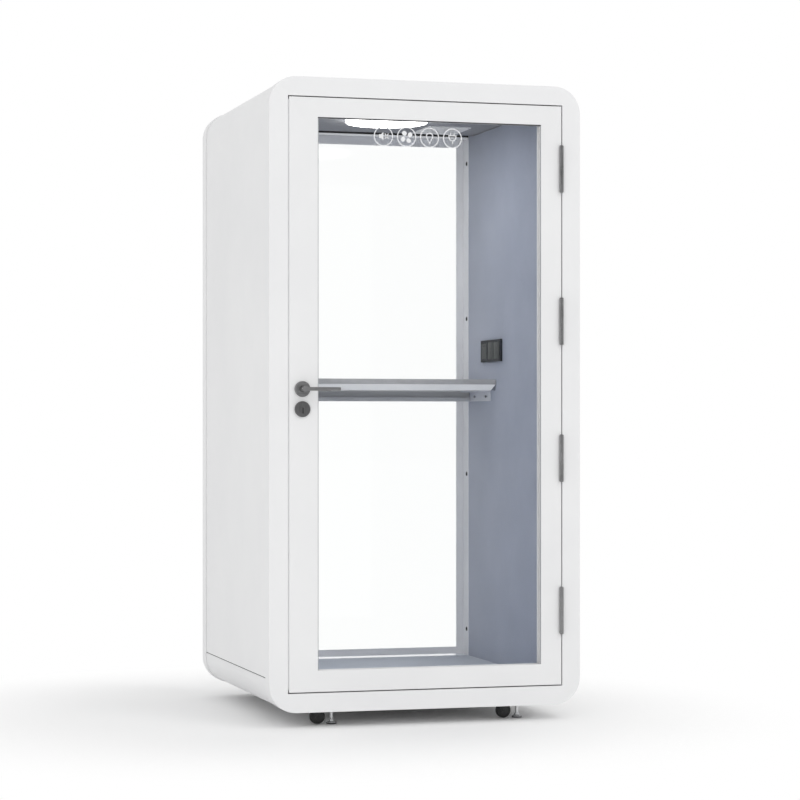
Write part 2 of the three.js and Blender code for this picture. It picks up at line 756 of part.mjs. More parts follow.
function lockEscutcheon() {
  const face = FIT + ROSE_THICK;
  const disc = turned("y", discProfile(-1), handleX, lockZ, FINE_FACETS);
  const plug = rod("y", KEY_PLUG_RADIUS, ...span(-1, face / 2, face + KEY_PLUG_RISE), handleX, lockZ);
  const halfWide = KEYWAY_WIDTH / 2;
  const halfHigh = KEYWAY_HEIGHT / 2;
  const keyway = box(
    [handleX - halfWide, handleX + halfWide],
    span(-1, face + KEY_PLUG_RISE - KEYWAY_DEPTH, face + KEY_PLUG_RISE + PAST),
    [lockZ - halfHigh, lockZ + halfHigh],
  );
  return cut(join(disc, plug), keyway);
}

function thumbTurn() {
  const face = FIT + ROSE_THICK;
  const disc = turned("y", discProfile(1), handleX, lockZ, FINE_FACETS);
  const shaft = rod("y", TURN_SHAFT_RADIUS, doorMiddle, offDoor(1, face), handleX, lockZ);
  const half = TURN_BAR_THICK / 2;
  const length = TURN_BAR_LENGTH / 2;
  const outline = rounded(handleX - half, handleX + half, lockZ - length, lockZ + length, half - RUN, 4);
  const bar = prism("y", outline, ...span(1, face / 2, face + TURN_BAR_RISE));
  return join(disc, shaft, bar);
}

// Desk
function deskBoard() {
  const half = feltFace - FIT;
  const outline = points(
    [deskFront, deskTop],
    [deskFront, deskTop - DESK_EDGE],
    [deskFront + DESK_BEVEL_DEPTH, deskBottom],
    [deskRear, deskBottom],
    [deskRear, deskTop],
  );
  return prism("x", outline, -half, half);
}

function deskRearRail() {
  const half = feltFace - FIT;
  const webFront = liningRear - RAIL_WEB;
  const outline = points(
    [railFront, supportLow],
    [liningRear, supportLow],
    [liningRear, supportTop],
    [webFront, supportTop],
    [webFront, supportLow + RAIL_LIP_HEIGHT],
    [railFront, supportLow + RAIL_LIP_HEIGHT],
  );
  return prism("x", outline, -half, half);
}

function deskBracket(side) {
  const wall = feltFace - FIT;
  const reach = (distance) => [side * wall, side * (wall - distance)].sort((a, b) => a - b);
  const y1 = railFront - FIT;
  const y0 = y1 - BRACKET_LENGTH;
  const plate = box(reach(BRACKET_PLATE), [y0, y1], [supportLow, supportTop]);
  const flange = box(reach(BRACKET_FLANGE), [y0, y1], [supportTop - BRACKET_PLATE, supportTop]);
  const slotMiddle = (supportLow + supportTop - BRACKET_PLATE) / 2;
  const slots = [0, 1].map((i) => {
    const y = y0 + BRACKET_SLOT_INSET + i * BRACKET_SLOT_PITCH;
    const halfLength = BRACKET_SLOT_LENGTH / 2;
    const halfHeight = BRACKET_SLOT_HEIGHT / 2;
    const ends = [y - halfLength, y + halfLength, slotMiddle - halfHeight, slotMiddle + halfHeight];
    const sides = [side * (wall + PAST), side * (wall - BRACKET_PLATE - PAST)].sort((a, b) => a - b);
    return prism("x", rounded(...ends, halfHeight - FIT, 4), ...sides);
  });
  return cut(join(plate, flange), ...slots);
}

// Wall plate on the right felt panel
const plateBack = feltFace - FIT;
const plateFace = plateBack - PLATE_THICK;
const plateRear = revealFront - PLATE_REAR_INSET;
const plateZ = deskTop + PLATE_RISE;
const rockerY = plateRear - PLATE_SINGLE / 2;
const rockerX = plateFace - ROCKER_PROUD + ROCKER_THICK / 2;

function rockerPin(grow) {
  const reach = ROCKER_SIDE / 2 + ROCKER_PIN_LENGTH + grow;
  return rod("y", ROCKER_PIN_RADIUS + grow, rockerY - reach, rockerY + reach, rockerX, plateZ);
}

function powerPlate() {
  const plateFront = plateRear - PLATE_SINGLE - PLATE_DOUBLE;
  const height = [plateZ - PLATE_HEIGHT / 2, plateZ + PLATE_HEIGHT / 2];
  const plate = box([plateFace, plateBack], [plateFront, plateRear], height);
  const seam = plateRear - PLATE_SINGLE;
  const groove = box(
    [plateFace - PAST, plateFace + PLATE_GROOVE_DEPTH],
    [seam - PLATE_GROOVE / 2, seam + PLATE_GROOVE / 2],
    [height[0] - PAST, height[1] + PAST],
  );
  const half = ROCKER_SIDE / 2 + RUN;
  const pocket = box(
    [plateFace - PAST, plateFace + ROCKER_POCKET],
    [rockerY - half, rockerY + half],
    [plateZ - half, plateZ + half],
  );
  return cut(plate, groove, pocket, rockerPin(FIT));
}

function switchRocker() {
  const half = ROCKER_SIDE / 2;
  const across = [rockerX - ROCKER_THICK / 2, rockerX + ROCKER_THICK / 2];
  return join(box(across, [rockerY - half, rockerY + half], [plateZ - half, plateZ + half]), rockerPin(0));
}

// Ceiling pieces
function lightDiffuser() {
  const high = ceilingLow - FIT;
  const low = high - LIGHT_THICK;
  const profile = [
    [0, low],
    [LIGHT_RADIUS - LIGHT_EDGE, low],
    [LIGHT_RADIUS, low + LIGHT_EDGE],
    [LIGHT_RADIUS, high],
    [0, high],
  ];
  return turned("z", profile, LIGHT_X, LIGHT_Y, 2 * FINE_FACETS);
}

function ventGrille() {
  const high = ceilingLow - FIT;
  const low = high - VENT_THICK;
  const halfX = VENT_WIDTH / 2;
  const halfY = VENT_LENGTH / 2;
  const plate = box([ventX - halfX, ventX + halfX], [ventY - halfY, ventY + halfY], [low, high]);
  const pitch = VENT_SLOT + VENT_BAR;
  const count = Math.floor((2 * ventHoleY + VENT_BAR) / pitch);
  const firstY = ventY - ((count - 1) * pitch) / 2;
  const slots = Array.from({ length: count }, (_, i) => {
    const y = firstY + i * pitch;
    const width = [ventX - ventHoleX, ventX + ventHoleX];
    return box(width, [y - VENT_SLOT / 2, y + VENT_SLOT / 2], [low - PAST, high + PAST]);
  });
  return cut(plate, ...slots);
}

function fanHousing() {
  const halfX = ventHoleX + FAN_RIM;
  const halfY = ventHoleY + FAN_RIM;
  const plateLow = fanHigh - FAN_TOP_PLATE;
  const block = box([ventX - halfX, ventX + halfX], [ventY - halfY, ventY + halfY], [fanLow, fanHigh]);
  const bore = rod("z", fanBore, fanLow - PAST, plateLow, ventX, ventY, FINE_FACETS);
  const bossLow = plateLow - FAN_BOSS_DROP;
  const boss = rod("z", FAN_BOSS_RADIUS, bossLow, fanHigh, ventX, ventY);
  const shaftHole = rod("z", FAN_SHAFT_RADIUS + FIT, fanLow, bossLow + FAN_SHAFT_GRIP + FIT, ventX, ventY);
  const ringRadius = (FAN_BOSS_RADIUS + fanBore) / 2;
  const outlets = Array.from({ length: FAN_OUTLETS }, (_, i) => {
    const angle = (2 * Math.PI * (i + 0.5)) / FAN_OUTLETS;
    const x = ventX + ringRadius * Math.cos(angle);
    const y = ventY + ringRadius * Math.sin(angle);
    return rod("z", FAN_OUTLET_RADIUS, plateLow - PAST, fanHigh + PAST, x, y);
  });
  return cut(join(cut(block, bore), boss), shaftHole, ...outlets);
}

function fanRotor() {
  const hubTop = fanHigh - FAN_TOP_PLATE - FAN_BOSS_DROP - RUN;
  const hubLow = hubTop - FAN_HUB_HEIGHT;
  const hub = rod("z", FAN_HUB_RADIUS, hubLow, hubTop, ventX, ventY);
  const shaft = rod("z", FAN_SHAFT_RADIUS, hubLow, hubTop + FAN_SHAFT_GRIP, ventX, ventY);
  const tip = fanBore - FAN_TIP_GAP;
  const root = FAN_HUB_RADIUS / 2;
  const blades = Array.from({ length: FAN_BLADES }, (_, i) => {
    const blade = new THREE.BoxGeometry(tip - root, FAN_BLADE_CHORD, FAN_BLADE_THICK);
    blade.rotateX(THREE.MathUtils.degToRad(FAN_BLADE_PITCH));
    blade.translate((tip + root) / 2, 0, 0);
    blade.rotateZ((2 * Math.PI * i) / FAN_BLADES);
    return blade.translate(ventX, ventY, (hubLow + hubTop) / 2);
  });
  return join(hub, shaft, ...blades);
}

// Running gear
function castorYoke(x, y) {
  const wheelX = x + CASTOR_TRAIL;
  const crownTop = pocketTop - FIT;
  const outline = [
    ...points([x - YOKE_END_RADIUS, crownTop]),
    ...arc(wheelX, axleZ, YOKE_END_RADIUS, 180, 360, 8),
    ...points([wheelX, crownTop]),
  ];
  const inside = yokeHalf - YOKE_ARM;
  const arms = [-1, 1].map((side) => {
    const ends = [y + side * inside, y + side * yokeHalf].sort((a, b) => a - b);
    return prism("y", outline, ...ends);
  });
  const crown = box([x - YOKE_END_RADIUS, wheelX], [y - yokeHalf, y + yokeHalf], [crownLow, crownTop]);
  const head = rod("z", YOKE_HEAD_RADIUS, crownLow, crownTop, x, y);
  const stem = rod("z", YOKE_STEM_RADIUS, crownTop - PAST, pocketTop + YOKE_STEM_LENGTH, x, y);
  const axle = rod("y", AXLE_RADIUS, y - yokeHalf, y + yokeHalf, wheelX, axleZ);
  return join(...arms, crown, head, stem, axle);
}

function castorWheel(x, y) {
  const half = WHEEL_WIDTH / 2;
  const bore = AXLE_RADIUS + FIT;
  const profile = [
    [bore, y - half],
    [WHEEL_RADIUS - WHEEL_EDGE, y - half],
    [WHEEL_RADIUS, y - half + WHEEL_EDGE],
    [WHEEL_RADIUS, y + half - WHEEL_EDGE],
    [WHEEL_RADIUS - WHEEL_EDGE, y + half],
    [bore, y + half],
    [bore, y - half],
  ];
  return turned("y", profile, x + CASTOR_TRAIL, axleZ, FINE_FACETS);
}

function levellingFoot(x, y) {
  const profile = [
    [0, 0],
    [FOOT_PAD_RADIUS, 0],
    [FOOT_PAD_RADIUS, FOOT_PAD_HEIGHT - FOOT_PAD_EDGE],
    [FOOT_PAD_RADIUS - FOOT_PAD_EDGE, FOOT_PAD_HEIGHT],
    [FOOT_NUT_RADIUS, FOOT_PAD_HEIGHT],
    [FOOT_NUT_RADIUS, FOOT_PAD_HEIGHT + FOOT_NUT_HEIGHT],
    [FOOT_STEM_RADIUS, FOOT_PAD_HEIGHT + FOOT_NUT_HEIGHT],
    [FOOT_STEM_RADIUS, footTop],
    [0, footTop],
  ];
  return turned("z", profile, x, y);
}

// Assembly. The levers stand out in front, so the body moves back by half of that to centre the whole.
const pod = new THREE.Group();
pod.name = "acoustic_office_pod";
const body = new THREE.Group();
body.position.y = LEVER_PROJECTION / 2;
pod.add(body);

function add(name, geometry, material) {
  const mesh = new THREE.Mesh(geometryOf(solidOf(geometry)), material);
  mesh.name = name;
  body.add(mesh);
}

add("front_frame", frontFrame(), whiteCoat);
add("rear_frame", rearFrame(), whiteCoat);
add("left_side_panel", sidePanel(-1), whiteCoat);
add("right_side_panel", sidePanel(1), whiteCoat);
add("roof_panel", roofPanel(), whiteCoat);
add("base_shell", baseShell(), whiteCoat);
add("base_core", baseCore(), deckWood);

add("left_wall_core", wallCore(-1), coreDark);
add("right_wall_core", wallCore(1), coreDark);
add("roof_core", roofCore(), coreDark);
add("left_felt_panel", feltPanel(-1), feltGrey);
add("right_felt_panel", feltPanel(1), feltGrey);
add("ceiling_panel", ceilingPanel(), feltGrey);
add("floor_carpet", floorCarpet(), carpetGrey);
add("front_liner", frontLiner(), paleAluminium);
add("rear_liner", rearLiner(), paleAluminium);

add("rear_glazing_bead", rearGlazingBead(), paleAluminium);
add("rear_glass", rearGlass(), glassClear);

add("door_frame", doorFrame(), whiteCoat);
add("door_glass", doorPane(0), glassClear);
add("door_seal", doorSeal(), sealBlack);

hingeHeights.forEach((height, i) => {
  add(`hinge_frame_leaf_${i + 1}`, hingeFrameLeaf(height), darkMetal);
  add(`hinge_door_leaf_${i + 1}`, hingeDoorLeaf(height), darkMetal);
});

add("lock_case", lockCase(), brightSteel);
add("latch_bolt", latchBolt(), brightSteel);
add("strike_plate", strikePlate(), brightSteel);
add("outer_rose", rose(-1), darkMetal);
add("inner_rose", rose(1), darkMetal);
add("outer_lever", outerLever(), darkMetal);
add("inner_lever", innerLever(), darkMetal);
add("lock_escutcheon", lockEscutcheon(), darkMetal);
add("thumb_turn", thumbTurn(), darkMetal);

add("desk_top", deskBoard(), deskGrey);
add("desk_rear_rail", deskRearRail(), paleAluminium);
add("desk_bracket_left", deskBracket(-1), paleAluminium);
add("desk_bracket_right", deskBracket(1), paleAluminium);

add("power_plate", powerPlate(), plateBlack);
add("switch_rocker", switchRocker(), plateBlack);
add("light_diffuser", lightDiffuser(), lampWhite);
add("vent_grille", ventGrille(), ventGrey);
add("fan_housing", fanHousing(), blackPlastic);
add("fan_rotor", fanRotor(), blackPlastic);

runningGearSets().forEach(({ place, castorX, footX, y }) => {
  add(`castor_yoke_${place}`, castorYoke(castorX, y), blackPlastic);
  add(`castor_wheel_${place}`, castorWheel(castorX, y), wheelBlack);
  add(`levelling_foot_${place}`, levellingFoot(footX, y), brightSteel);
});

export default pod;
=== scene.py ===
"""Looks of the acoustic office pod: materials, lining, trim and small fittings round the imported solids."""

import math

import bmesh
import bpy
from mathutils import Matrix, Vector


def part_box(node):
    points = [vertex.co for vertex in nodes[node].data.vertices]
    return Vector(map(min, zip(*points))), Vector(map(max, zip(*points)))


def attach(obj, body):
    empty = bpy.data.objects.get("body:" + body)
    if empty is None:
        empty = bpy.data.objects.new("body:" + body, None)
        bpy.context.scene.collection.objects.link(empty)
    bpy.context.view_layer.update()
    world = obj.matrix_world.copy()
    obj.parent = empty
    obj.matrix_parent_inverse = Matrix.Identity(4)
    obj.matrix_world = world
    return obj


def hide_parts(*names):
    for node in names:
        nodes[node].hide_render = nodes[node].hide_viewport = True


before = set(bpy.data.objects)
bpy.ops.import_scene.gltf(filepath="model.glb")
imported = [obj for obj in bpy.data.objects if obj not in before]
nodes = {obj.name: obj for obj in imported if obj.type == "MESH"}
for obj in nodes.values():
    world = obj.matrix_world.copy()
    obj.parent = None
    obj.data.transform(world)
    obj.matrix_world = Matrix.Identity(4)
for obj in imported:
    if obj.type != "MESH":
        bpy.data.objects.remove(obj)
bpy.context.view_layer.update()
scene = bpy.context.scene
scene.view_settings.view_transform = "Standard"

MM = 0.001

# Camera, fitted to the photograph's straight edges
CAMERA_AT = (-2.323, -8.2045, 0.977)
CAMERA_YAW = -16.154
LENS = 110.75
SENSOR = 36
SHIFT_Y = 0.0313

# Light levels
AMBIENT = 0.845
FRONT_DIM = 0.3
FRONT_SPAN = (-0.9, -0.3)
KEY_POWER = 145
KEY_SIZE = 4.0
KEY_AT = (3.6, -7.6, 7.5)
FILL_POWER = 140
FILL_SIZE = 5.0
FILL_AT = (-5.0, -8.0, 1.2)
LAMPS_AIM = Vector((0, 0, 0.6))
LAMP_GLOW = 7.9

# Stage
FLOOR_COLOR = (0.95, 0.95, 0.95, 1)
FLOOR_HALF = 60
FLOOR_FADE = (0.65, 1.7)
FADE_CENTRE = (-0.3, -0.1, 0)
FLOOR_BELOW = 0.2 * MM


# Camera
camera_data = bpy.data.cameras.new("camera")
camera_data.lens = LENS
camera_data.sensor_width = SENSOR
camera_data.shift_y = SHIFT_Y
camera = bpy.data.objects.new("camera", camera_data)
camera.location = CAMERA_AT
camera.rotation_euler = (math.radians(90), 0, math.radians(CAMERA_YAW))
scene.collection.objects.link(camera)
scene.camera = camera


# Node helpers. Object coordinates are metres in the pod's own frame.
def link(tree, source, target):
    tree.links.new(source, target)


def new_material(name):
    material = bpy.data.materials.new(name)
    material.use_nodes = True
    tree = material.node_tree
    return material, tree, tree.nodes["Principled BSDF"]


def coordinates(tree, stretch=(1, 1, 1)):
    place = tree.nodes.new("ShaderNodeTexCoord")
    mapping = tree.nodes.new("ShaderNodeMapping")
    mapping.inputs["Scale"].default_value = stretch
    link(tree, place.outputs["Object"], mapping.inputs["Vector"])
    return mapping.outputs["Vector"]


def noise(tree, scale, detail=4.0, stretch=(1, 1, 1), rough=0.55):
    texture = tree.nodes.new("ShaderNodeTexNoise")
    texture.inputs["Scale"].default_value = scale
    texture.inputs["Detail"].default_value = detail
    texture.inputs["Roughness"].default_value = rough
    link(tree, coordinates(tree, stretch), texture.inputs["Vector"])
    return texture.outputs[0]


def cells(tree, scale, stretch=(1, 1, 1)):
    texture = tree.nodes.new("ShaderNodeTexVoronoi")
    texture.inputs["Scale"].default_value = scale
    link(tree, coordinates(tree, stretch), texture.inputs["Vector"])
    return texture.outputs["Distance"]


def ramp(tree, factor, low, high, start=0.3, end=0.7):
    node = tree.nodes.new("ShaderNodeValToRGB")
    node.color_ramp.elements[0].position = start
    node.color_ramp.elements[1].position = end
    node.color_ramp.elements[0].color = (*low, 1)
    node.color_ramp.elements[1].color = (*high, 1)
    link(tree, factor, node.inputs["Fac"])
    return node.outputs["Color"]


def level(tree, factor, low, high):
    node = tree.nodes.new("ShaderNodeMapRange")
    node.inputs["To Min"].default_value = low
    node.inputs["To Max"].default_value = high
    link(tree, factor, node.inputs["Value"])
    return node.outputs["Result"]


def math_node(tree, operation, first, second):
    node = tree.nodes.new("ShaderNodeMath")
    node.operation = operation
    for socket, value in zip(node.inputs, (first, second)):
        if isinstance(value, (int, float)):
            socket.default_value = value
        else:
            link(tree, value, socket)
    return node.outputs[0]


def bump(tree, height, strength, distance, under=None):
    node = tree.nodes.new("ShaderNodeBump")
    node.inputs["Strength"].default_value = strength
    node.inputs["Distance"].default_value = distance
    link(tree, height, node.inputs["Height"])
    if under is not None:
        link(tree, under, node.inputs["Normal"])
    return node.outputs["Normal"]


def set_sockets(shader, **values):
    for key, value in values.items():
        shader.inputs[key.replace("_", " ").title().replace("Ior", "IOR")].default_value = value


def coated(name, low, high, rough, patch=3.0, grain=1400.0, relief=0.06, **sockets):
    """A sprayed or moulded skin: a slow drift of colour, a fine orange peel and uneven gloss."""
    material, tree, shader = new_material(name)
    drift = noise(tree, patch, 3.0)
    peel = noise(tree, grain, 2.0)
    link(tree, ramp(tree, drift, low, high), shader.inputs["Base Color"])
    link(tree, level(tree, noise(tree, patch * 9, 5.0), rough[0], rough[1]), shader.inputs["Roughness"])
    link(tree, bump(tree, peel, relief, 0.2 * MM), shader.inputs["Normal"])
    set_sockets(shader, **sockets)
    return material


def brushed(name, low, high, rough, stretch, **sockets):
    """Metal with fine brush lines along the axis that is stretched least."""
    material, tree, shader = new_material(name)
    lines = noise(tree, 60.0, 6.0, stretch)
    cloud = noise(tree, 14.0, 3.0)
    blend = math_node(tree, "MULTIPLY_ADD", lines, 0.6)
    link(tree, cloud, blend.node.inputs[2])
    link(tree, ramp(tree, blend, low, high, 0.5, 1.1), shader.inputs["Base Color"])
    link(tree, level(tree, lines, rough[0], rough[1]), shader.inputs["Roughness"])
    link(tree, bump(tree, lines, 0.15, 0.1 * MM), shader.inputs["Normal"])
    set_sockets(shader, **sockets)
    return material


def fibrous(name, dark, mid, light, fibre, tuft):
    """Pressed felt or carpet: crossing fibres over small tufts, with a soft sheen."""
    material, tree, shader = new_material(name)
    across = noise(tree, fibre, 5.0, (1.0, 0.22, 1.6))
    along = noise(tree, fibre, 5.0, (1.5, 1.3, 0.2))
    fibres = math_node(tree, "MAXIMUM", across, along)
    cloud = noise(tree, 5.0, 5.0)
    speck = noise(tree, fibre * 2.2, 2.0)
    tone = ramp(tree, fibres, dark, mid, 0.38, 0.68)
    mixer = tree.nodes.new("ShaderNodeMix")
    mixer.data_type = "RGBA"
    link(tree, level(tree, math_node(tree, "MULTIPLY", speck, cloud), -0.15, 1.1), mixer.inputs["Factor"])
    link(tree, tone, mixer.inputs["A"])
    mixer.inputs["B"].default_value = (*light, 1)
    link(tree, mixer.outputs["Result"], shader.inputs["Base Color"])
    under = bump(tree, cells(tree, tuft), 0.35, 0.8 * MM)
    link(tree, bump(tree, fibres, 0.5, 0.5 * MM, under), shader.inputs["Normal"])
    link(tree, level(tree, fibres, 0.85, 1.0), shader.inputs["Roughness"])
    set_sockets(shader, sheen_weight=0.25, sheen_roughness=0.5)
    return material


def clear_glass(name, tint):
    """Clear pane: it refracts what is seen through it and lets lamp light pass."""
    material, tree, shader = new_material(name)
    smear = noise(tree, 2.0, 3.0)
    link(tree, level(tree, smear, 0.0, 0.012), shader.inputs["Roughness"])
    set_sockets(shader, base_color=(*tint, 1), transmission_weight=1.0, ior=1.2)
    path = tree.nodes.new("ShaderNodeLightPath")
    passed = math_node(tree, "MULTIPLY", path.outputs["Is Shadow Ray"], 0.95)
    link(tree, math_node(tree, "SUBTRACT", 1.0, passed), shader.inputs["Alpha"])
    return material


def glowing(name, color, strength):
    material, tree, shader = new_material(name)
    link(tree, ramp(tree, noise(tree, 8.0), color, (1, 1, 1)), shader.inputs["Base Color"])
    set_sockets(shader, emission_color=(*color, 1), emission_strength=strength, roughness=0.55)
    return material


# Materials: two ends of a slow drift of colour, then the range of roughness
white = coated("white_coat", (0.77, 0.773, 0.78), (0.8, 0.802, 0.806), (0.36, 0.48))
door_white = coated("door_white", (0.765, 0.767, 0.773), (0.795, 0.797, 0.8), (0.36, 0.46))
pale = coated("pale_aluminium", (0.87, 0.878, 0.9), (0.9, 0.908, 0.93), (0.16, 0.26), relief=0.03)
bead_pale = coated("bead_aluminium", (0.78, 0.788, 0.815), (0.82, 0.828, 0.855), (0.3, 0.4), relief=0.03)
bracket_grey = coated("bracket_grey", (0.66, 0.68, 0.74), (0.72, 0.74, 0.79), (0.4, 0.5), relief=0.05)
rail_grey = coated("rail_grey", (0.56, 0.57, 0.59), (0.62, 0.63, 0.65), (0.42, 0.52), relief=0.05)
desk_skin = coated(
    "desk_laminate", (0.64, 0.645, 0.66), (0.7, 0.705, 0.72), (0.38, 0.5), patch=40.0, grain=900.0
)
desk_band = coated(
    "desk_edge_band", (0.41, 0.41, 0.422), (0.47, 0.47, 0.482), (0.4, 0.5), patch=30.0, grain=900.0
)
# Painted shade: a dark blue-grey strip under the bright one, seen only at its slanted ends, where shade
# falls
desk_painted_shade = coated("desk_bevel_painted_shade", (0.17, 0.185, 0.225), (0.21, 0.225, 0.265), (0.5, 0.6), patch=20.0)
# Painted highlight: the bevel strip is near white, brighter than the desk, for the light its bevel catches
desk_painted_highlight = coated("desk_bevel_painted_highlight", (0.9, 0.905, 0.915), (0.93, 0.935, 0.94), (0.3, 0.4), patch=20.0)
felt = fibrous("felt_board", (0.262, 0.294, 0.38), (0.362, 0.402, 0.51), (0.51, 0.555, 0.66), 420.0, 260.0)
ceiling_felt = fibrous(
    "ceiling_felt", (0.13, 0.14, 0.172), (0.18, 0.194, 0.235), (0.25, 0.265, 0.31), 420.0, 260.0
)
carpet = fibrous("loop_carpet", (0.36, 0.4, 0.475), (0.5, 0.55, 0.635), (0.66, 0.71, 0.78), 300.0, 190.0)
dark_metal = brushed(
    "dark_metal", (0.16, 0.16, 0.162), (0.29, 0.29, 0.295), (0.3, 0.44), (0.25, 6, 6), metallic=0.75
)
lock_metal = brushed(
    "lock_metal", (0.1, 0.1, 0.102), (0.19, 0.19, 0.193), (0.32, 0.46), (6, 6, 0.4), metallic=0.7
)
hinge_metal = brushed(
    "hinge_metal", (0.17, 0.17, 0.172), (0.27, 0.27, 0.275), (0.22, 0.34), (6, 6, 0.25), metallic=0.85
)
trim_metal = brushed(
    "liner_trim", (0.84, 0.85, 0.875), (0.92, 0.93, 0.95), (0.16, 0.26), (6, 6, 6), metallic=0.85
)
steel = brushed(
    "zinc_steel", (0.52, 0.53, 0.54), (0.72, 0.73, 0.74), (0.2, 0.34), (6, 6, 0.3), metallic=1.0
)
black_plastic = coated(
    "black_plastic", (0.014, 0.014, 0.015), (0.03, 0.03, 0.031), (0.4, 0.6), patch=30.0, relief=0.12
)
tread = coated(
    "wheel_tread", (0.011, 0.011, 0.011), (0.022, 0.022, 0.022), (0.5, 0.75), patch=60.0, relief=0.2
)
seal = coated(
    "seal_rubber", (0.012, 0.012, 0.012), (0.025, 0.025, 0.026), (0.55, 0.75), patch=20.0, relief=0.15
)
gasket_pale = coated(
    "glazing_gasket", (0.78, 0.785, 0.8), (0.84, 0.845, 0.855), (0.4, 0.5), patch=20.0, relief=0.1
)
# Painted shade: the door's glazing beads take the grey and the dark of the shaded reveal they stand for
side_beads_painted_shade = coated(
    "side_bead", (0.34, 0.345, 0.36), (0.4, 0.405, 0.42), (0.5, 0.65), patch=20.0, relief=0.1
)
top_bead_painted_shade = coated(
    "glazing_bead", (0.05, 0.052, 0.058), (0.08, 0.082, 0.088), (0.5, 0.65), patch=20.0, relief=0.1
)
plate_rim = coated(
    "plate_rim", (0.012, 0.014, 0.02), (0.018, 0.021, 0.028), (0.5, 0.6),
    patch=25.0, specular_ior_level=0.12,
)
plate_face = coated(
    "plate_face", (0.04, 0.047, 0.047), (0.055, 0.063, 0.062), (0.5, 0.6),
    patch=25.0, relief=0.08, specular_ior_level=0.25,
)
# Black for the liner's screw caps, and painted shade for the socket's pin slots and the lock's keyway, which
# are drawn as raised black marks instead of holes
black_caps_and_painted_hole_shade = coated("black_caps_and_painted_hole_shade", (0.006, 0.006, 0.006), (0.012, 0.012, 0.012), (0.6, 0.8), patch=50.0)
vent_skin = coated("vent_coat", (0.84, 0.845, 0.865), (0.89, 0.895, 0.915), (0.38, 0.5))
core = fibrous("core_fleece", (0.02, 0.02, 0.022), (0.04, 0.04, 0.042), (0.06, 0.06, 0.062), 300.0, 150.0)
deck = brushed("deck_board", (0.2, 0.15, 0.1), (0.33, 0.26, 0.18), (0.55, 0.75), (6, 0.4, 6))
decal = coated("glass_print", (0.76, 0.77, 0.785), (0.82, 0.83, 0.84), (0.45, 0.55), patch=30.0)
lamp = glowing("lamp_opal", (1.0, 0.985, 0.96), LAMP_GLOW)
glass = clear_glass("clear_glass", (0.995, 1.0, 0.998))

# Finish of every carried-over node
FINISH = {
    "front_frame": white,
    "rear_frame": white,
    "left_side_panel": white,
    "right_side_panel": white,
    "roof_panel": white,
    "base_shell": white,
    "base_core": deck,
    "left_wall_core": core,
    "right_wall_core": core,
    "roof_core": core,
    "left_felt_panel": felt,
    "right_felt_panel": felt,
    "ceiling_panel": ceiling_felt,
    "floor_carpet": carpet,
    "front_liner": pale,
    "rear_liner": pale,
    "rear_glazing_bead": bead_pale,
    "rear_glass": glass,
    "door_frame": door_white,
    "door_glass": glass,
    "door_seal": seal,
    "lock_case": steel,
    "latch_bolt": steel,
    "strike_plate": steel,
    "desk_top": desk_skin,
    "desk_rear_rail": rail_grey,
    "desk_bracket_left": bracket_grey,
    "desk_bracket_right": bracket_grey,
    "power_plate": plate_rim,
    "switch_rocker": plate_face,
    "lock_escutcheon": lock_metal,
    "light_diffuser": lamp,
    "vent_grille": vent_skin,
    "fan_housing": black_plastic,
    "fan_rotor": black_plastic,
}
PREFIX_FINISH = {
    "hinge_": hinge_metal,
    "castor_yoke": black_plastic,
    "castor_wheel": tread,
    "levelling_foot": steel,
}


def finish_of(name):
    if name in FINISH:
        return FINISH[name]
    for prefix, material in PREFIX_FINISH.items():
        if name.startswith(prefix):
            return material
    return dark_metal


for name, node in nodes.items():
    node.data.materials.clear()
    node.data.materials.append(finish_of(name))


# Smooth shading: faces blend across edges that bend less than this
SMOOTH_BELOW = math.radians(32)


def smooth_group():
    group = bpy.data.node_groups.new("soft_faces", "GeometryNodeTree")
    group.interface.new_socket("Geometry", in_out="INPUT", socket_type="NodeSocketGeometry")
    group.interface.new_socket("Geometry", in_out="OUTPUT", socket_type="NodeSocketGeometry")
    start = group.nodes.new("NodeGroupInput")
    end = group.nodes.new("NodeGroupOutput")
    angle = group.nodes.new("GeometryNodeInputMeshEdgeAngle")
    compare = group.nodes.new("FunctionNodeCompare")
    compare.operation = "GREATER_THAN"
    compare.inputs["B"].default_value = SMOOTH_BELOW
    faces = group.nodes.new("GeometryNodeSetShadeSmooth")
    edges = group.nodes.new("GeometryNodeSetShadeSmooth")
    edges.domain = "EDGE"
    edges.inputs["Shade Smooth"].default_value = False
    group.links.new(angle.outputs["Unsigned Angle"], compare.inputs["A"])
    group.links.new(start.outputs[0], faces.inputs["Geometry"])
    group.links.new(faces.outputs["Geometry"], edges.inputs["Geometry"])
    group.links.new(compare.outputs["Result"], edges.inputs["Selection"])
    group.links.new(edges.outputs["Geometry"], end.inputs[0])
    return group


soft_faces = smooth_group()


def shade_smooth(obj):
    smooth = obj.modifiers.new("smooth", "NODES")
    smooth.node_group = soft_faces


FLAT_BELOW = math.radians(0.5)
ROUND_ABOVE = math.radians(35)


def soften(obj, width, segments):
    """Rounds the sharp edges of a board built from flat faces."""
    flats = obj.modifiers.new("flats", "DECIMATE")
    flats.decimate_type = "DISSOLVE"
    flats.angle_limit = FLAT_BELOW
    edges = obj.modifiers.new("edges", "BEVEL")
    edges.width = width
    edges.segments = segments
    edges.limit_method = "ANGLE"
    edges.angle_limit = ROUND_ABOVE
    shade_smooth(obj)


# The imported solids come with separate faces, so they are joined before their curves are shaded smooth
JOIN_BELOW = 0.01 * MM
for node in nodes.values():
    joined = node.modifiers.new("joined", "WELD")
    joined.merge_threshold = JOIN_BELOW
    shade_smooth(node)
    flat_first = node.modifiers.new("flat_first", "WEIGHTED_NORMAL")
    flat_first.keep_sharp = True


# Added pieces keep this far off the solid beside them, thin facings half as far
CLEAR = 0.1 * MM
THIN_CLEAR = 0.05 * MM

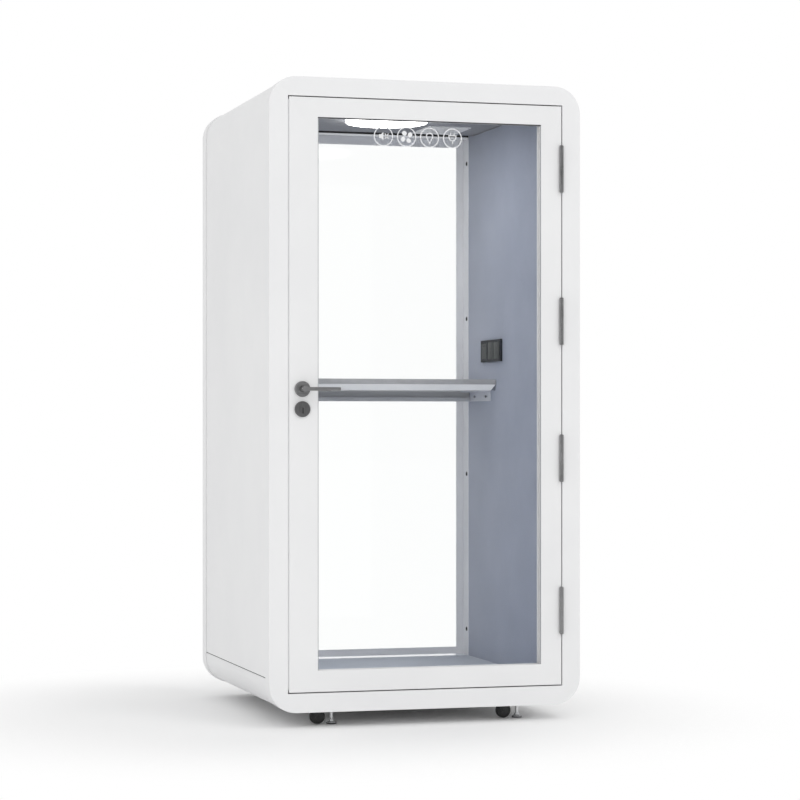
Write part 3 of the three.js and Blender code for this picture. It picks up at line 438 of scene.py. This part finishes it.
# Mesh helpers for the added pieces, in metres
SMALL_EDGE = 0.4 * MM
SMALL_STEPS = 24
MID_STEPS = 32
LARGE_STEPS = 96
AXES = {
    "x": (Vector((0, 1, 0)), Vector((0, 0, 1)), Vector((1, 0, 0))),
    "y": (Vector((0, 0, 1)), Vector((1, 0, 0)), Vector((0, 1, 0))),
    "z": (Vector((1, 0, 0)), Vector((0, 1, 0)), Vector((0, 0, 1))),
}


def lathe(mesh, profile, axis, centre, steps=48):
    """Adds a turned form: profile points are (radius, distance along the axis from the centre)."""
    u, v, w = AXES[axis]
    rings = []
    for radius, station in profile:
        base = Vector(centre) + w * station
        count = steps if radius > 1e-7 else 1
        turn = [2 * math.pi * i / steps for i in range(count)]
        rings.append([mesh.verts.new(base + (u * math.cos(a) + v * math.sin(a)) * radius) for a in turn])
    for first, second in zip(rings, rings[1:]):
        for i in range(steps):
            j = (i + 1) % steps
            corners = [ring[k % len(ring)] for ring, k in ((first, i), (first, j), (second, j), (second, i))]
            corners = list(dict.fromkeys(corners))
            if len(corners) > 2:
                mesh.faces.new(corners)


def block(mesh, low, high, edge=0.0, segments=2):
    """Adds a box with rounded edges."""
    made = bmesh.ops.create_cube(mesh, size=1.0)["verts"]
    low, high = Vector(low), Vector(high)
    for vert in made:
        vert.co = Vector(a + (b - a) * (c + 0.5) for a, b, c in zip(low, high, vert.co))
    if edge > 0:
        edges = list({e for vert in made for e in vert.link_edges})
        bmesh.ops.bevel(mesh, geom=edges, offset=edge, segments=segments, profile=0.5, affect="EDGES")


def mitred(mesh, low, high, section):
    """Adds a rectangular ring in the XZ plane; section points are (distance in from the outline, Y)."""
    loops = []
    for inset, y in section:
        x0, x1, z0, z1 = low[0] + inset, high[0] - inset, low[1] + inset, high[1] - inset
        corners = ((x0, z0), (x1, z0), (x1, z1), (x0, z1))
        loops.append([mesh.verts.new((x, y, z)) for x, z in corners])
    for first, second in zip(loops, loops[1:] + loops[:1]):
        for i in range(4):
            j = (i + 1) % 4
            mesh.faces.new((first[i], first[j], second[j], second[i]))


def along_x(mesh, x0, x1, section):
    """Adds a bar along X; section points are (distance in from both ends, y, z)."""
    first = [mesh.verts.new((x0 + inset, y, z)) for inset, y, z in section]
    last = [mesh.verts.new((x1 - inset, y, z)) for inset, y, z in section]
    ends = (first, last)
    for end in ends:
        mesh.faces.new(end)
    for i in range(len(section)):
        j = (i + 1) % len(section)
        mesh.faces.new((ends[0][i], ends[0][j], ends[1][j], ends[1][i]))


def ribbon(mesh, points, width, y0, y1, closed=False):
    """Adds a flat stroke of even width along points (x, z), between two Y faces."""
    count = len(points)
    left, right = [], []
    for i, point in enumerate(points):
        before = points[i - 1] if closed or i > 0 else point
        after = points[(i + 1) % count] if closed or i < count - 1 else point
        run = (Vector(after) - Vector(before)).normalized()
        across = Vector((-run.y, run.x)) * width / 2
        left.append(Vector(point) + across)
        right.append(Vector(point) - across)
    sections = []
    for a, b in zip(left, right):
        corners = ((a.x, y0, a.y), (b.x, y0, b.y), (b.x, y1, b.y), (a.x, y1, a.y))
        sections.append([mesh.verts.new(corner) for corner in corners])
    pairs = list(zip(sections, sections[1:]))
    if closed:
        pairs.append((sections[-1], sections[0]))
    else:
        mesh.faces.new(sections[0])
        mesh.faces.new(sections[-1])
    for first, second in pairs:
        for i in range(4):
            j = (i + 1) % 4
            mesh.faces.new((first[i], first[j], second[j], second[i]))


def plate(mesh, outline, y0, y1):
    """Adds a flat filled shape with outline points (x, z), between two Y faces."""
    front = [mesh.verts.new((x, y0, z)) for x, z in outline]
    back = [mesh.verts.new((x, y1, z)) for x, z in outline]
    mesh.faces.new(front)
    mesh.faces.new(back)
    for i in range(len(outline)):
        j = (i + 1) % len(outline)
        mesh.faces.new((front[i], front[j], back[j], back[i]))


def piece(name, mesh, material, body, smooth=True, replaced=None):
    bmesh.ops.recalc_face_normals(mesh, faces=mesh.faces)
    data = bpy.data.meshes.new(name)
    mesh.to_mesh(data)
    mesh.free()
    data.materials.append(material)
    obj = bpy.data.objects.new(name, data)
    scene.collection.objects.link(obj)
    if smooth:
        shade_smooth(obj)
    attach(obj, body)
    if replaced:
        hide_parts(replaced)
    return obj


def corners_of(name):
    low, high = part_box(name)
    return Vector(low), Vector(high)


# Soft lining: felt boards and carpet with rolled edges
BOARD_EDGE = 2.5 * MM
BOARD_STEPS = 3

for side in ("left", "right"):
    low, high = corners_of(f"{side}_felt_panel")
    mesh = bmesh.new()
    block(mesh, low, high, BOARD_EDGE, BOARD_STEPS)
    piece(f"{side}_felt_board", mesh, felt, "shell", replaced=f"{side}_felt_panel")

low, high = corners_of("floor_carpet")
mesh = bmesh.new()
block(mesh, low, high, BOARD_EDGE, BOARD_STEPS)
piece("carpet_tile", mesh, carpet, "shell", replaced="floor_carpet")

# The ceiling board has a cut-out for the vent, so it is built as a plate with a hole
ceiling_low, ceiling_high = corners_of("ceiling_panel")
fan_low, fan_high = corners_of("fan_housing")
FAN_RIM = 12 * MM
hole_low = fan_low + Vector((FAN_RIM, FAN_RIM, 0))
hole_high = fan_high - Vector((FAN_RIM, FAN_RIM, 0))
corners = (ceiling_low, hole_low, hole_high, ceiling_high)
mesh = bmesh.new()
outline = []
for z in (ceiling_low.z, ceiling_high.z):
    ring = []
    for column in corners:
        ring.append([mesh.verts.new((column.x, row.y, z)) for row in corners])
    outline.append(ring)
for ring in outline:
    for i in range(3):
        for j in range(3):
            if (i, j) != (1, 1):
                mesh.faces.new((ring[i][j], ring[i + 1][j], ring[i + 1][j + 1], ring[i][j + 1]))
below, above = outline
rim = [(i, 0) for i in range(4)]
rim += [(3, j) for j in (1, 2, 3)]
rim += [(i, 3) for i in (2, 1, 0)]
rim += [(0, j) for j in (2, 1)]
inner_rim = [(1, 1), (2, 1), (2, 2), (1, 2)]
for loop in (rim, inner_rim):
    for (i, j), (m, n) in zip(loop, loop[1:] + loop[:1]):
        mesh.faces.new((below[i][j], below[m][n], above[m][n], above[i][j]))
ceiling = piece("ceiling_felt_board", mesh, ceiling_felt, "shell", replaced="ceiling_panel")
soften(ceiling, BOARD_EDGE, BOARD_STEPS)

# Glazing gaskets: a rounded rubber lip where each pane meets its frame
GASKET = 1.4 * MM
GASKET_RISE = 2 * MM


def gasket(name, low, high, face, towards, body):
    """A lip lying on the pane's face, against the frame's inner edge."""
    out = towards * GASKET_RISE
    gap = towards * CLEAR
    section = [
        (2 * CLEAR, face + gap),
        (2 * CLEAR, face + out),
        (GASKET * 0.55, face + out * 0.9),
        (GASKET * 0.85, face + out * 0.55),
        (GASKET, face + gap),
    ]
    mesh = bmesh.new()
    mitred(mesh, low, high, section)
    piece(name, mesh, gasket_pale, body)


door_low, door_high = corners_of("door_frame")
pane_low, pane_high = corners_of("door_glass")
BITE = 12 * MM
sight_low = (pane_low.x + BITE, pane_low.z + BITE)
sight_high = (pane_high.x - BITE, pane_high.z - BITE)
gasket("door_gasket_outer", sight_low, sight_high, pane_low.y, -1, "door")
gasket("door_gasket_inner", sight_low, sight_high, pane_high.y, 1, "door")

# Door glass: a dark bead along the top and grey ones down both sides, close to the front face. Their dark
# and grey are painted shade, standing in for the shaded reveal round the pane.
BEAD_SIDE = 2.4 * MM
BEAD_TOP = 4 * MM
BEAD_SET = 0.8 * MM
BEAD_DEEP = 5 * MM
bead_front = door_low.y + BEAD_SET
bead_back = bead_front + BEAD_DEEP
left_side = (sight_low[0] + CLEAR, sight_low[0] + BEAD_SIDE)
right_side = (sight_high[0] - BEAD_SIDE, sight_high[0] - CLEAR)
mesh = bmesh.new()
for x0, x1 in (left_side, right_side):
    low = (x0, bead_front, sight_low[1] + CLEAR)
    high = (x1, bead_back, sight_high[1] - BEAD_TOP)
    block(mesh, low, high, SMALL_EDGE)
piece("door_bead_sides_painted_shade", mesh, side_beads_painted_shade, "door")
mesh = bmesh.new()
block(
    mesh,
    (sight_low[0] + CLEAR, bead_front, sight_high[1] - BEAD_TOP),
    (sight_high[0] - CLEAR, bead_back, sight_high[1] - CLEAR),
    SMALL_EDGE,
)
piece("door_bead_top_painted_shade", mesh, top_bead_painted_shade, "door")

# Door edge: a pale lip narrows the gap on the lock side
LIP_WIDTH = 2.8 * MM
LIP_SET = 3 * MM
LIP_DEEP = 5 * MM
LIP_END = 8 * MM
mesh = bmesh.new()
block(
    mesh,
    (door_low.x - LIP_WIDTH, door_low.y + LIP_SET, door_low.z + LIP_END),
    (door_low.x - CLEAR, door_low.y + LIP_SET + LIP_DEEP, door_high.z - LIP_END),
    SMALL_EDGE,
)
piece("door_edge_lip", mesh, gasket_pale, "door")

# Rear window: the gasket on the outside, a little wider than the pane
REAR_EDGE = 2.7 * MM
rear_low, rear_high = corners_of("rear_glass")
rear_sight_low = (rear_low.x - REAR_EDGE, rear_low.z - REAR_EDGE)
rear_sight_high = (rear_high.x + REAR_EDGE, rear_high.z + REAR_EDGE)
gasket("rear_gasket_outer", rear_sight_low, rear_sight_high, rear_high.y, 1, "shell")


# Screws: pan heads with a round recess
def screw(name, at, axis, radius, body, finish=steel, towards=1):
    """A domed head seated at a point, standing off it along the axis."""
    rise = radius * 0.55 * towards
    profile = [
        (0, 0),
        (radius, 0),
        (radius, rise * 0.35),
        (radius * 0.86, rise * 0.75),
        (radius * 0.55, rise),
        (radius * 0.42, rise),
        (radius * 0.3, rise * 0.45),
        (0, rise * 0.4),
    ]
    mesh = bmesh.new()
    lathe(mesh, profile, axis, at, SMALL_STEPS)
    return piece(name, mesh, finish, body)


# Rear liner: a black cap in each counterbore, over its screw
liner_low = corners_of("rear_liner")[0]
felt_low = corners_of("right_felt_panel")[0]
carpet_high = corners_of("floor_carpet")[1]
SCREW_END = 95 * MM
SCREW_INSET = 20 * MM
CAP_SEAT = 3 * MM
CAP_STEM = 6.3 * MM
CAP_RADIUS = 8 * MM
CAP_RISE = 2 * MM
SCREW_COUNT = 4
inner_half = felt_low.x
screw_pitch = (ceiling_low.z - carpet_high.z - 2 * SCREW_END) / (SCREW_COUNT - 1)
for side, label in ((-1, "left"), (1, "right")):
    for i in range(SCREW_COUNT):
        z = carpet_high.z + SCREW_END + i * screw_pitch
        mesh = bmesh.new()
        profile = [
            (0, side * CAP_SEAT),
            (CAP_STEM, side * CAP_SEAT),
            (CAP_STEM, -side * CLEAR),
            (CAP_RADIUS, -side * CLEAR),
            (CAP_RADIUS * 0.9, -side * CAP_RISE * 0.8),
            (0, -side * CAP_RISE),
        ]
        lathe(mesh, profile, "x", (side * inner_half, liner_low.y + SCREW_INSET, z), MID_STEPS)
        piece(f"liner_cap_{label}_{i + 1}", mesh, black_caps_and_painted_hole_shade, "shell")

# Rear liner: a bright sloping trim along the sill and along the head of the opening
SLOPE_RISE = 5 * MM
SLOPE_DEEP = 20 * MM
SLOPE_SET = 0.5 * MM
slope_front = liner_low.y + SLOPE_SET
slope_back = slope_front + SLOPE_DEEP
TRIMS = (("sill", carpet_high.z, 1, trim_metal), ("head", ceiling_low.z, -1, pale))
for label, z, up, finish in TRIMS:
    flat = z + up * CLEAR
    raised = z + up * SLOPE_RISE
    section = ((CLEAR, slope_front, flat), (CLEAR, slope_back, raised), (CLEAR, slope_back, flat))
    mesh = bmesh.new()
    along_x(mesh, -inner_half, inner_half, section)
    piece(f"liner_{label}_trim", mesh, finish, "shell", smooth=False)

# Bracket screws, in the slots
BRACKET_THICK = 4 * MM
BRACKET_FIRST = 44 * MM
BRACKET_PITCH = 134 * MM
BRACKET_HEAD = 4.8 * MM
for side, label in ((-1, "left"), (1, "right")):
    low, high = corners_of(f"desk_bracket_{label}")
    bracket_face = high.x - BRACKET_THICK if side > 0 else low.x + BRACKET_THICK
    z = (low.z + high.z - BRACKET_THICK) / 2
    for i in range(2):
        at = (bracket_face, low.y + BRACKET_FIRST + i * BRACKET_PITCH, z)
        name = f"bracket_screw_{label}_{i + 1}"
        screw(name, at, "x", BRACKET_HEAD, "shell", finish=dark_metal, towards=-side)

# Vent screws
VENT_INSET = 7 * MM
VENT_HEAD = 3 * MM
low, high = corners_of("vent_grille")
for i, x in enumerate((low.x + VENT_INSET, high.x - VENT_INSET)):
    for j, y in enumerate((low.y + VENT_INSET, high.y - VENT_INSET)):
        screw(f"vent_screw_{2 * i + j + 1}", (x, y, low.z), "z", VENT_HEAD, "shell", towards=-1)

# Strike screws
LOCK_HEAD = 2.6 * MM
STRIKE_INSET = 12 * MM
FOREND_INSET = 10 * MM
low, high = corners_of("strike_plate")
for i, z in enumerate((low.z + STRIKE_INSET, high.z - STRIKE_INSET)):
    screw(f"strike_screw_{i + 1}", (high.x, (low.y + high.y) / 2, z), "x", LOCK_HEAD, "shell")

# Forend screws
low, high = corners_of("lock_case")
for i, z in enumerate((low.z + FOREND_INSET, high.z - FOREND_INSET)):
    at = (low.x, (low.y + high.y) / 2, z)
    screw(f"forend_screw_{i + 1}", at, "x", LOCK_HEAD, "door", towards=-1)

# Light: a slim base ring round the opal drum, against the ceiling
low, high = corners_of("light_diffuser")
centre = (low + high) / 2
radius = (high.x - low.x) / 2
TRIM = 1.6 * MM
TRIM_DROP = 3 * MM
mesh = bmesh.new()
profile = [
    (radius + CLEAR, high.z),
    (radius + TRIM, high.z),
    (radius + TRIM, high.z - TRIM_DROP * 0.7),
    (radius + TRIM * 0.6, high.z - TRIM_DROP),
    (radius + CLEAR, high.z - TRIM_DROP),
    (radius + CLEAR, high.z),
]
lathe(mesh, profile, "z", (centre.x, centre.y, 0), LARGE_STEPS)
piece("light_trim", mesh, door_white, "shell")

# Desk front: a grey band on the upright edge, and on the bevel under it a bright strip, a painted highlight
# for the light the bevel catches, on a dark base of painted shade that shows only at the strip's slanted
# ends
DESK_EDGE = 18 * MM
DESK_BEVEL_DEPTH = 10 * MM
STRIP_END = 2 * MM
STRIP_SLANT = 14 * MM
STRIP_DROP = 0.4 * MM
BAND = 0.7 * MM
BAND_EDGE = 0.25 * MM

low, high = corners_of("desk_top")
edge_low = high.z - DESK_EDGE
mesh = bmesh.new()
block(mesh, (low.x, low.y - BAND, edge_low), (high.x, low.y - THIN_CLEAR, high.z), BAND_EDGE)
piece("desk_edge_band", mesh, desk_band, "shell")
out = Vector((0, low.z - edge_low, -DESK_BEVEL_DEPTH)).normalized() * BAND
upper = Vector((STRIP_END, low.y + STRIP_DROP, edge_low - STRIP_DROP))
lower = Vector((STRIP_END + STRIP_SLANT, low.y + DESK_BEVEL_DEPTH, low.z))
mesh = bmesh.new()
section = (upper + out * 0.45, lower + out * 0.45, lower + out, upper + out)
along_x(mesh, low.x, high.x, section)
piece("desk_bevel_painted_highlight", mesh, desk_painted_highlight, "shell", smooth=False)
upper.x = CLEAR
lower.x = CLEAR
section = (upper + out * 0.05, lower + out * 0.05, lower + out * 0.4, upper + out * 0.4)
mesh = bmesh.new()
along_x(mesh, low.x, high.x, section)
piece("desk_bevel_painted_shade", mesh, desk_painted_shade, "shell", smooth=False)

# Ceiling: dark fleece strips close the gap along the rear liner and edge the board along both walls; their
# dark is painted shadow, standing in for the shade in the gap
GAP_LINE = 8 * MM
GAP_HALF = 0.5 * MM
GAP_END = 1 * MM
GAP_DEEP = 3 * MM
half = felt_low.x - GAP_END
mesh = bmesh.new()
block(
    mesh,
    (-half, liner_low.y - GAP_DEEP, ceiling_low.z + 2 * CLEAR),
    (half, liner_low.y - 2 * CLEAR, ceiling_high.z),
    SMALL_EDGE,
)
for x0, x1 in ((-felt_low.x, GAP_LINE - felt_low.x), (felt_low.x - GAP_LINE, felt_low.x)):
    block(
        mesh,
        (x0 + CLEAR, ceiling_low.y, ceiling_low.z - GAP_HALF),
        (x1 - CLEAR, ceiling_high.y, ceiling_low.z + GAP_HALF),
        2 * CLEAR,
    )
piece("ceiling_painted_shadow_strip", mesh, core, "shell")

# Wall plate: socket faces with pin slots, and a pilot line on the rocker; the slots are raised black marks,
# painted shade standing in for the pin holes
low, high = corners_of("power_plate")
plate_x = low.x
plate_z = (low.z + high.z) / 2
SOCKET_HALF = 30 * MM
SOCKET_RISE = 1.2 * MM
SOCKET_EDGE = 0.5 * MM
SOCKETS_AT = (39 * MM, 103 * MM)
SLOT_RISE = 0.25 * MM
# Pin slots, in mm from a socket's centre: y, z, width, height
SLOTS = ((-7, 8, 2, 7), (7, 8, 2, 7), (0, -9, 2, 7), (-8, -5, 5, 2), (8, -5, 5, 2))
for i, y in enumerate(low.y + offset for offset in SOCKETS_AT):
    mesh = bmesh.new()
    block(
        mesh,
        (plate_x - SOCKET_RISE, y - SOCKET_HALF, plate_z - SOCKET_HALF),
        (plate_x - CLEAR, y + SOCKET_HALF, plate_z + SOCKET_HALF),
        SOCKET_EDGE,
    )
    piece(f"socket_face_{i + 1}", mesh, plate_face, "shell")
    mesh = bmesh.new()
    face = (plate_x - SOCKET_RISE - SLOT_RISE, plate_x - SOCKET_RISE)
    for dy, dz, wide, tall in SLOTS:
        centre_y, centre_z = y + dy * MM, plate_z + dz * MM
        block(
            mesh,
            (face[0], centre_y - wide * MM / 2, centre_z - tall * MM / 2),
            (face[1], centre_y + wide * MM / 2, centre_z + tall * MM / 2),
        )
    piece(f"socket_slots_{i + 1}", mesh, black_caps_and_painted_hole_shade, "shell", smooth=False)

LINE_HALF = 6 * MM
LINE_TOP = 7.4 * MM
LINE_TALL = 1.6 * MM
LINE_RISE = 0.3 * MM
LINE_CLEAR = 0.02 * MM
low, high = corners_of("switch_rocker")
line_top = high.z - LINE_TOP
rocker_y = (low.y + high.y) / 2
mesh = bmesh.new()
block(
    mesh,
    (low.x - LINE_RISE, rocker_y - LINE_HALF, line_top - LINE_TALL),
    (low.x - LINE_CLEAR, rocker_y + LINE_HALF, line_top),
)
piece("rocker_line", mesh, plate_rim, "rocker", smooth=False)

# Castors: hub caps on both sides of each wheel, and an axle head outside each arm
PLACES = ("front_left", "front_right", "rear_left", "rear_right")
HUB_BORE = 3.4 * MM
HUB_RADIUS = 15 * MM
HUB_RISE = 0.35 * MM
AXLE_RADIUS = 4.6 * MM
AXLE_RISE = 1.7 * MM
for place in PLACES:
    low, high = corners_of(f"castor_wheel_{place}")
    centre = (low + high) / 2
    body = f"wheel_{place}"
    mesh = bmesh.new()
    for towards, face in ((-1, low.y), (1, high.y)):
        profile = [
            (HUB_BORE, 0),
            (HUB_RADIUS, 0),
            (HUB_RADIUS, towards * 0.15 * MM),
            (HUB_RADIUS * 0.9, towards * HUB_RISE),
            (HUB_BORE, towards * HUB_RISE),
            (HUB_BORE, 0),
        ]
        lathe(mesh, profile, "y", (centre.x, face, centre.z), MID_STEPS)
    piece(f"hub_cap_{place}", mesh, black_plastic, body)
    low, high = corners_of(f"castor_yoke_{place}")
    mesh = bmesh.new()
    for towards, face in ((-1, low.y), (1, high.y)):
        profile = [
            (0, 0),
            (AXLE_RADIUS, 0),
            (AXLE_RADIUS, towards * 0.8 * MM),
            (3.4 * MM, towards * 1.5 * MM),
            (0, towards * AXLE_RISE),
        ]
        lathe(mesh, profile, "y", (centre.x, face, centre.z), SMALL_STEPS)
    piece(f"axle_head_{place}", mesh, black_plastic, f"swivel_{place}")

# Levelling feet: thread turns on the stem and a black rubber sole round the pad
THREAD_PITCH = 2.2 * MM
THREAD_TURNS = 10
THREAD_START = 16 * MM
THREAD_BORE = 5.005 * MM
THREAD_ROOT = 5.02 * MM
THREAD_CREST = 5.28 * MM
SOLE_BORE = 16.05 * MM
SOLE_LOW = 0.4 * MM
SOLE_HIGH = 4.6 * MM
for place in PLACES:
    low, high = corners_of(f"levelling_foot_{place}")
    centre = (low + high) / 2
    body = f"foot_{place}"
    mesh = bmesh.new()
    profile = []
    for i in range(THREAD_TURNS):
        z = THREAD_START + i * THREAD_PITCH
        profile += [(THREAD_ROOT, z), (THREAD_CREST, z + THREAD_PITCH / 2)]
    end = THREAD_START + THREAD_TURNS * THREAD_PITCH
    profile += [(THREAD_ROOT, end), (THREAD_BORE, end), (THREAD_BORE, THREAD_START), profile[0]]
    lathe(mesh, profile, "z", (centre.x, centre.y, low.z), MID_STEPS)
    piece(f"foot_thread_{place}", mesh, steel, body)
    mesh = bmesh.new()
    profile = [
        (SOLE_BORE, SOLE_LOW),
        (16.8 * MM, SOLE_LOW),
        (16.9 * MM, 3.2 * MM),
        (16.4 * MM, SOLE_HIGH),
        (SOLE_BORE, SOLE_HIGH),
        (SOLE_BORE, SOLE_LOW),
    ]
    lathe(mesh, profile, "z", (centre.x, centre.y, low.z))
    piece(f"foot_sole_{place}", mesh, seal, body)

# Hinges: a domed finial on each end of the barrels
HINGE_COUNT = 4
BARREL_IN = 7 * MM
FINIAL_RADIUS = 6.2 * MM
FINIAL_RISE = 2 * MM
for i in range(1, HINGE_COUNT + 1):
    for kind, body, end in (("frame", "shell", -1), ("door", "door", 1)):
        low, high = corners_of(f"hinge_{kind}_leaf_{i}")
        at = ((low.x + high.x) / 2, low.y + BARREL_IN, low.z if end < 0 else high.z)
        profile = [
            (0, 0),
            (FINIAL_RADIUS, 0),
            (5.8 * MM, end * FINIAL_RISE * 0.4),
            (4.4 * MM, end * FINIAL_RISE * 0.8),
            (0, end * FINIAL_RISE),
        ]
        mesh = bmesh.new()
        lathe(mesh, profile, "z", at, SMALL_STEPS)
        piece(f"hinge_cap_{kind}_{i}", mesh, hinge_metal, body)

# Lock: the keyway in the escutcheon, a raised black mark of painted shade standing in for the slot
low, high = corners_of("lock_escutcheon")
centre = (low + high) / 2
KEYWAY_HALF = 1.6 * MM
KEYWAY_DROP = 14 * MM
KEYWAY_TOP = 5 * MM
KEYWAY_RISE = 0.25 * MM
mesh = bmesh.new()
block(
    mesh,
    (centre.x - KEYWAY_HALF, low.y - KEYWAY_RISE, centre.z - KEYWAY_DROP),
    (centre.x + KEYWAY_HALF, low.y - THIN_CLEAR, centre.z + KEYWAY_TOP),
)
piece("lock_keyway", mesh, black_caps_and_painted_hole_shade, "door", smooth=False)

# Printed signs on the door glass: rings round plain symbols for quiet, air, light and power
SIGN_Z = 1.9183
SIGN_FIRST_X = -0.1437
SIGN_PITCH = 0.0785
SIGN_RADIUS = 0.0310
STROKE = 3.2 * MM
SIGN_RISE = 0.35 * MM
SIGN_FACE = (pane_low.y - SIGN_RISE, pane_low.y - CLEAR)
PETAL_START = 32
PETAL_TWIST = math.radians(25)
PETAL_OUT = 14 * MM
PETAL_LONG = 8.5 * MM
PETAL_WIDE = 7.5 * MM
PETAL_STEPS = 20


def ring_points(x, z, radius, steps=48, start=0.0, end=360.0):
    closed = end - start >= 360
    count = steps if closed else steps + 1
    points = []
    for i in range(count):
        angle = math.radians(start + (end - start) * i / steps)
        points.append((x + radius * math.cos(angle), z + radius * math.sin(angle)))
    return points


def sign(index, name):
    x = SIGN_FIRST_X + index * SIGN_PITCH
    mesh = bmesh.new()
    ribbon(mesh, ring_points(x, SIGN_Z, SIGN_RADIUS), STROKE, *SIGN_FACE, closed=True)

    def stroke(*points):
        ribbon(mesh, [(x + u * MM, SIGN_Z + v * MM) for u, v in points], STROKE, *SIGN_FACE)

    if name == "quiet":
        shape = ((-15, -6), (-8, -6), (0, -14), (0, 14), (-8, 6), (-15, 6))
        plate(mesh, [(x + u * MM, SIGN_Z + v * MM) for u, v in shape], *SIGN_FACE)
        stroke((5, 9), (17, -9))
        stroke((5, -9), (17, 9))
    elif name == "air":
        for quarter in range(4):
            angle = math.radians(PETAL_START + 90 * quarter)
            middle = Vector((x, SIGN_Z)) + Vector((math.cos(angle), math.sin(angle))) * PETAL_OUT
            turn = Matrix.Rotation(angle + PETAL_TWIST, 2)
            petal = []
            for i in range(PETAL_STEPS):
                t = 2 * math.pi * i / PETAL_STEPS
                petal.append(middle + turn @ Vector((PETAL_LONG * math.cos(t), PETAL_WIDE * math.sin(t))))
            plate(mesh, petal, *SIGN_FACE)
    elif name == "light":
        arc = ring_points(x, SIGN_Z + 4 * MM, 11 * MM, 28, -50, 230)
        left, right = (x - 4 * MM, SIGN_Z - 12 * MM), (x + 4 * MM, SIGN_Z - 12 * MM)
        ribbon(mesh, [right, *arc, left], STROKE, *SIGN_FACE)
        stroke((-4, -14.5), (4, -14.5))
        stroke((-3, -18), (3, -18))
    else:
        arc = ring_points(x, SIGN_Z + 4 * MM, 12 * MM, 20, 180, 360)
        left, right = (x - 12 * MM, SIGN_Z + 8 * MM), (x + 12 * MM, SIGN_Z + 8 * MM)
        ribbon(mesh, [left, *arc, right], STROKE, *SIGN_FACE)
        stroke((-14, 9), (14, 9))
        stroke((-6, 10), (-6, 17))
        stroke((6, 10), (6, 17))
        stroke((0, -8), (0, -19))
    piece(f"sign_{name}", mesh, decal, "door", smooth=False)


for index, name in enumerate(("quiet", "air", "light", "power")):
    sign(index, name)


# Stage: a pale floor that keeps the shadow near the pod and turns into the white backdrop further off
floor_mesh = bpy.data.meshes.new("floor")
floor_corners = [(u * FLOOR_HALF, v * FLOOR_HALF, 0) for u, v in ((-1, -1), (1, -1), (1, 1), (-1, 1))]
floor_mesh.from_pydata(floor_corners, [], [(0, 1, 2, 3)])
floor = bpy.data.objects.new("floor", floor_mesh)
floor.location.z = -FLOOR_BELOW
scene.collection.objects.link(floor)
material, tree, shader = new_material("floor")
set_sockets(shader, base_color=FLOOR_COLOR, roughness=0.7, specular_ior_level=0.2)
path = tree.nodes.new("ShaderNodeLightPath")
seen = math_node(tree, "MAXIMUM", path.outputs["Is Camera Ray"], path.outputs["Is Glossy Ray"])
seen = math_node(tree, "MAXIMUM", seen, path.outputs["Is Transmission Ray"])
shifted = tree.nodes.new("ShaderNodeVectorMath")
shifted.operation = "SUBTRACT"
shifted.inputs[1].default_value = FADE_CENTRE
link(tree, coordinates(tree), shifted.inputs[0])
length = tree.nodes.new("ShaderNodeVectorMath")
length.operation = "LENGTH"
link(tree, shifted.outputs[0], length.inputs[0])
fade = tree.nodes.new("ShaderNodeMapRange")
fade.interpolation_type = "SMOOTHSTEP"
fade.inputs["From Min"].default_value = FLOOR_FADE[0]
fade.inputs["From Max"].default_value = FLOOR_FADE[1]
link(tree, length.outputs["Value"], fade.inputs["Value"])
backdrop = tree.nodes.new("ShaderNodeEmission")
backdrop.inputs["Strength"].default_value = 1.0
mix = tree.nodes.new("ShaderNodeMixShader")
link(tree, math_node(tree, "MULTIPLY", seen, fade.outputs["Result"]), mix.inputs[0])
link(tree, shader.outputs[0], mix.inputs[1])
link(tree, backdrop.outputs[0], mix.inputs[2])
link(tree, mix.outputs[0], tree.nodes["Material Output"].inputs["Surface"])
floor_mesh.materials.append(material)

# World: white to the eye and in glass, softer as a light, with a dim front for metal to mirror
world = bpy.data.worlds.new("studio")
world.use_nodes = True
scene.world = world
tree = world.node_tree
path = tree.nodes.new("ShaderNodeLightPath")
seen = math_node(tree, "MAXIMUM", path.outputs["Is Camera Ray"], path.outputs["Is Transmission Ray"])
place = tree.nodes.new("ShaderNodeTexCoord")
split = tree.nodes.new("ShaderNodeSeparateXYZ")
link(tree, place.outputs["Generated"], split.inputs[0])
card = tree.nodes.new("ShaderNodeMapRange")
card.interpolation_type = "SMOOTHSTEP"
card.inputs["From Min"].default_value = FRONT_SPAN[0]
card.inputs["From Max"].default_value = FRONT_SPAN[1]
card.inputs["To Min"].default_value = FRONT_DIM
link(tree, split.outputs["Y"], card.inputs["Value"])
shown = math_node(tree, "MULTIPLY", path.outputs["Is Glossy Ray"], card.outputs["Result"])
shown = math_node(tree, "MAXIMUM", shown, seen)
direct = math_node(tree, "MAXIMUM", path.outputs["Is Glossy Ray"], seen)
unseen = math_node(tree, "SUBTRACT", 1.0, direct)
strength = math_node(tree, "MULTIPLY_ADD", unseen, AMBIENT)
link(tree, shown, strength.node.inputs[2])
background = tree.nodes["Background"]
background.inputs["Color"].default_value = (1, 1, 1, 1)
link(tree, strength, background.inputs["Strength"])


# Lamps: a soft key high on the right and a wide low fill on the left, both in front
def lamp_at(name, power, size, at):
    data = bpy.data.lights.new(name, "AREA")
    data.energy = power
    data.size = size
    obj = bpy.data.objects.new(name, data)
    obj.location = at
    obj.rotation_euler = (LAMPS_AIM - Vector(at)).to_track_quat("-Z", "Y").to_euler()
    obj.visible_glossy = False
    scene.collection.objects.link(obj)


lamp_at("key", KEY_POWER, KEY_SIZE, KEY_AT)
lamp_at("fill", FILL_POWER, FILL_SIZE, FILL_AT)
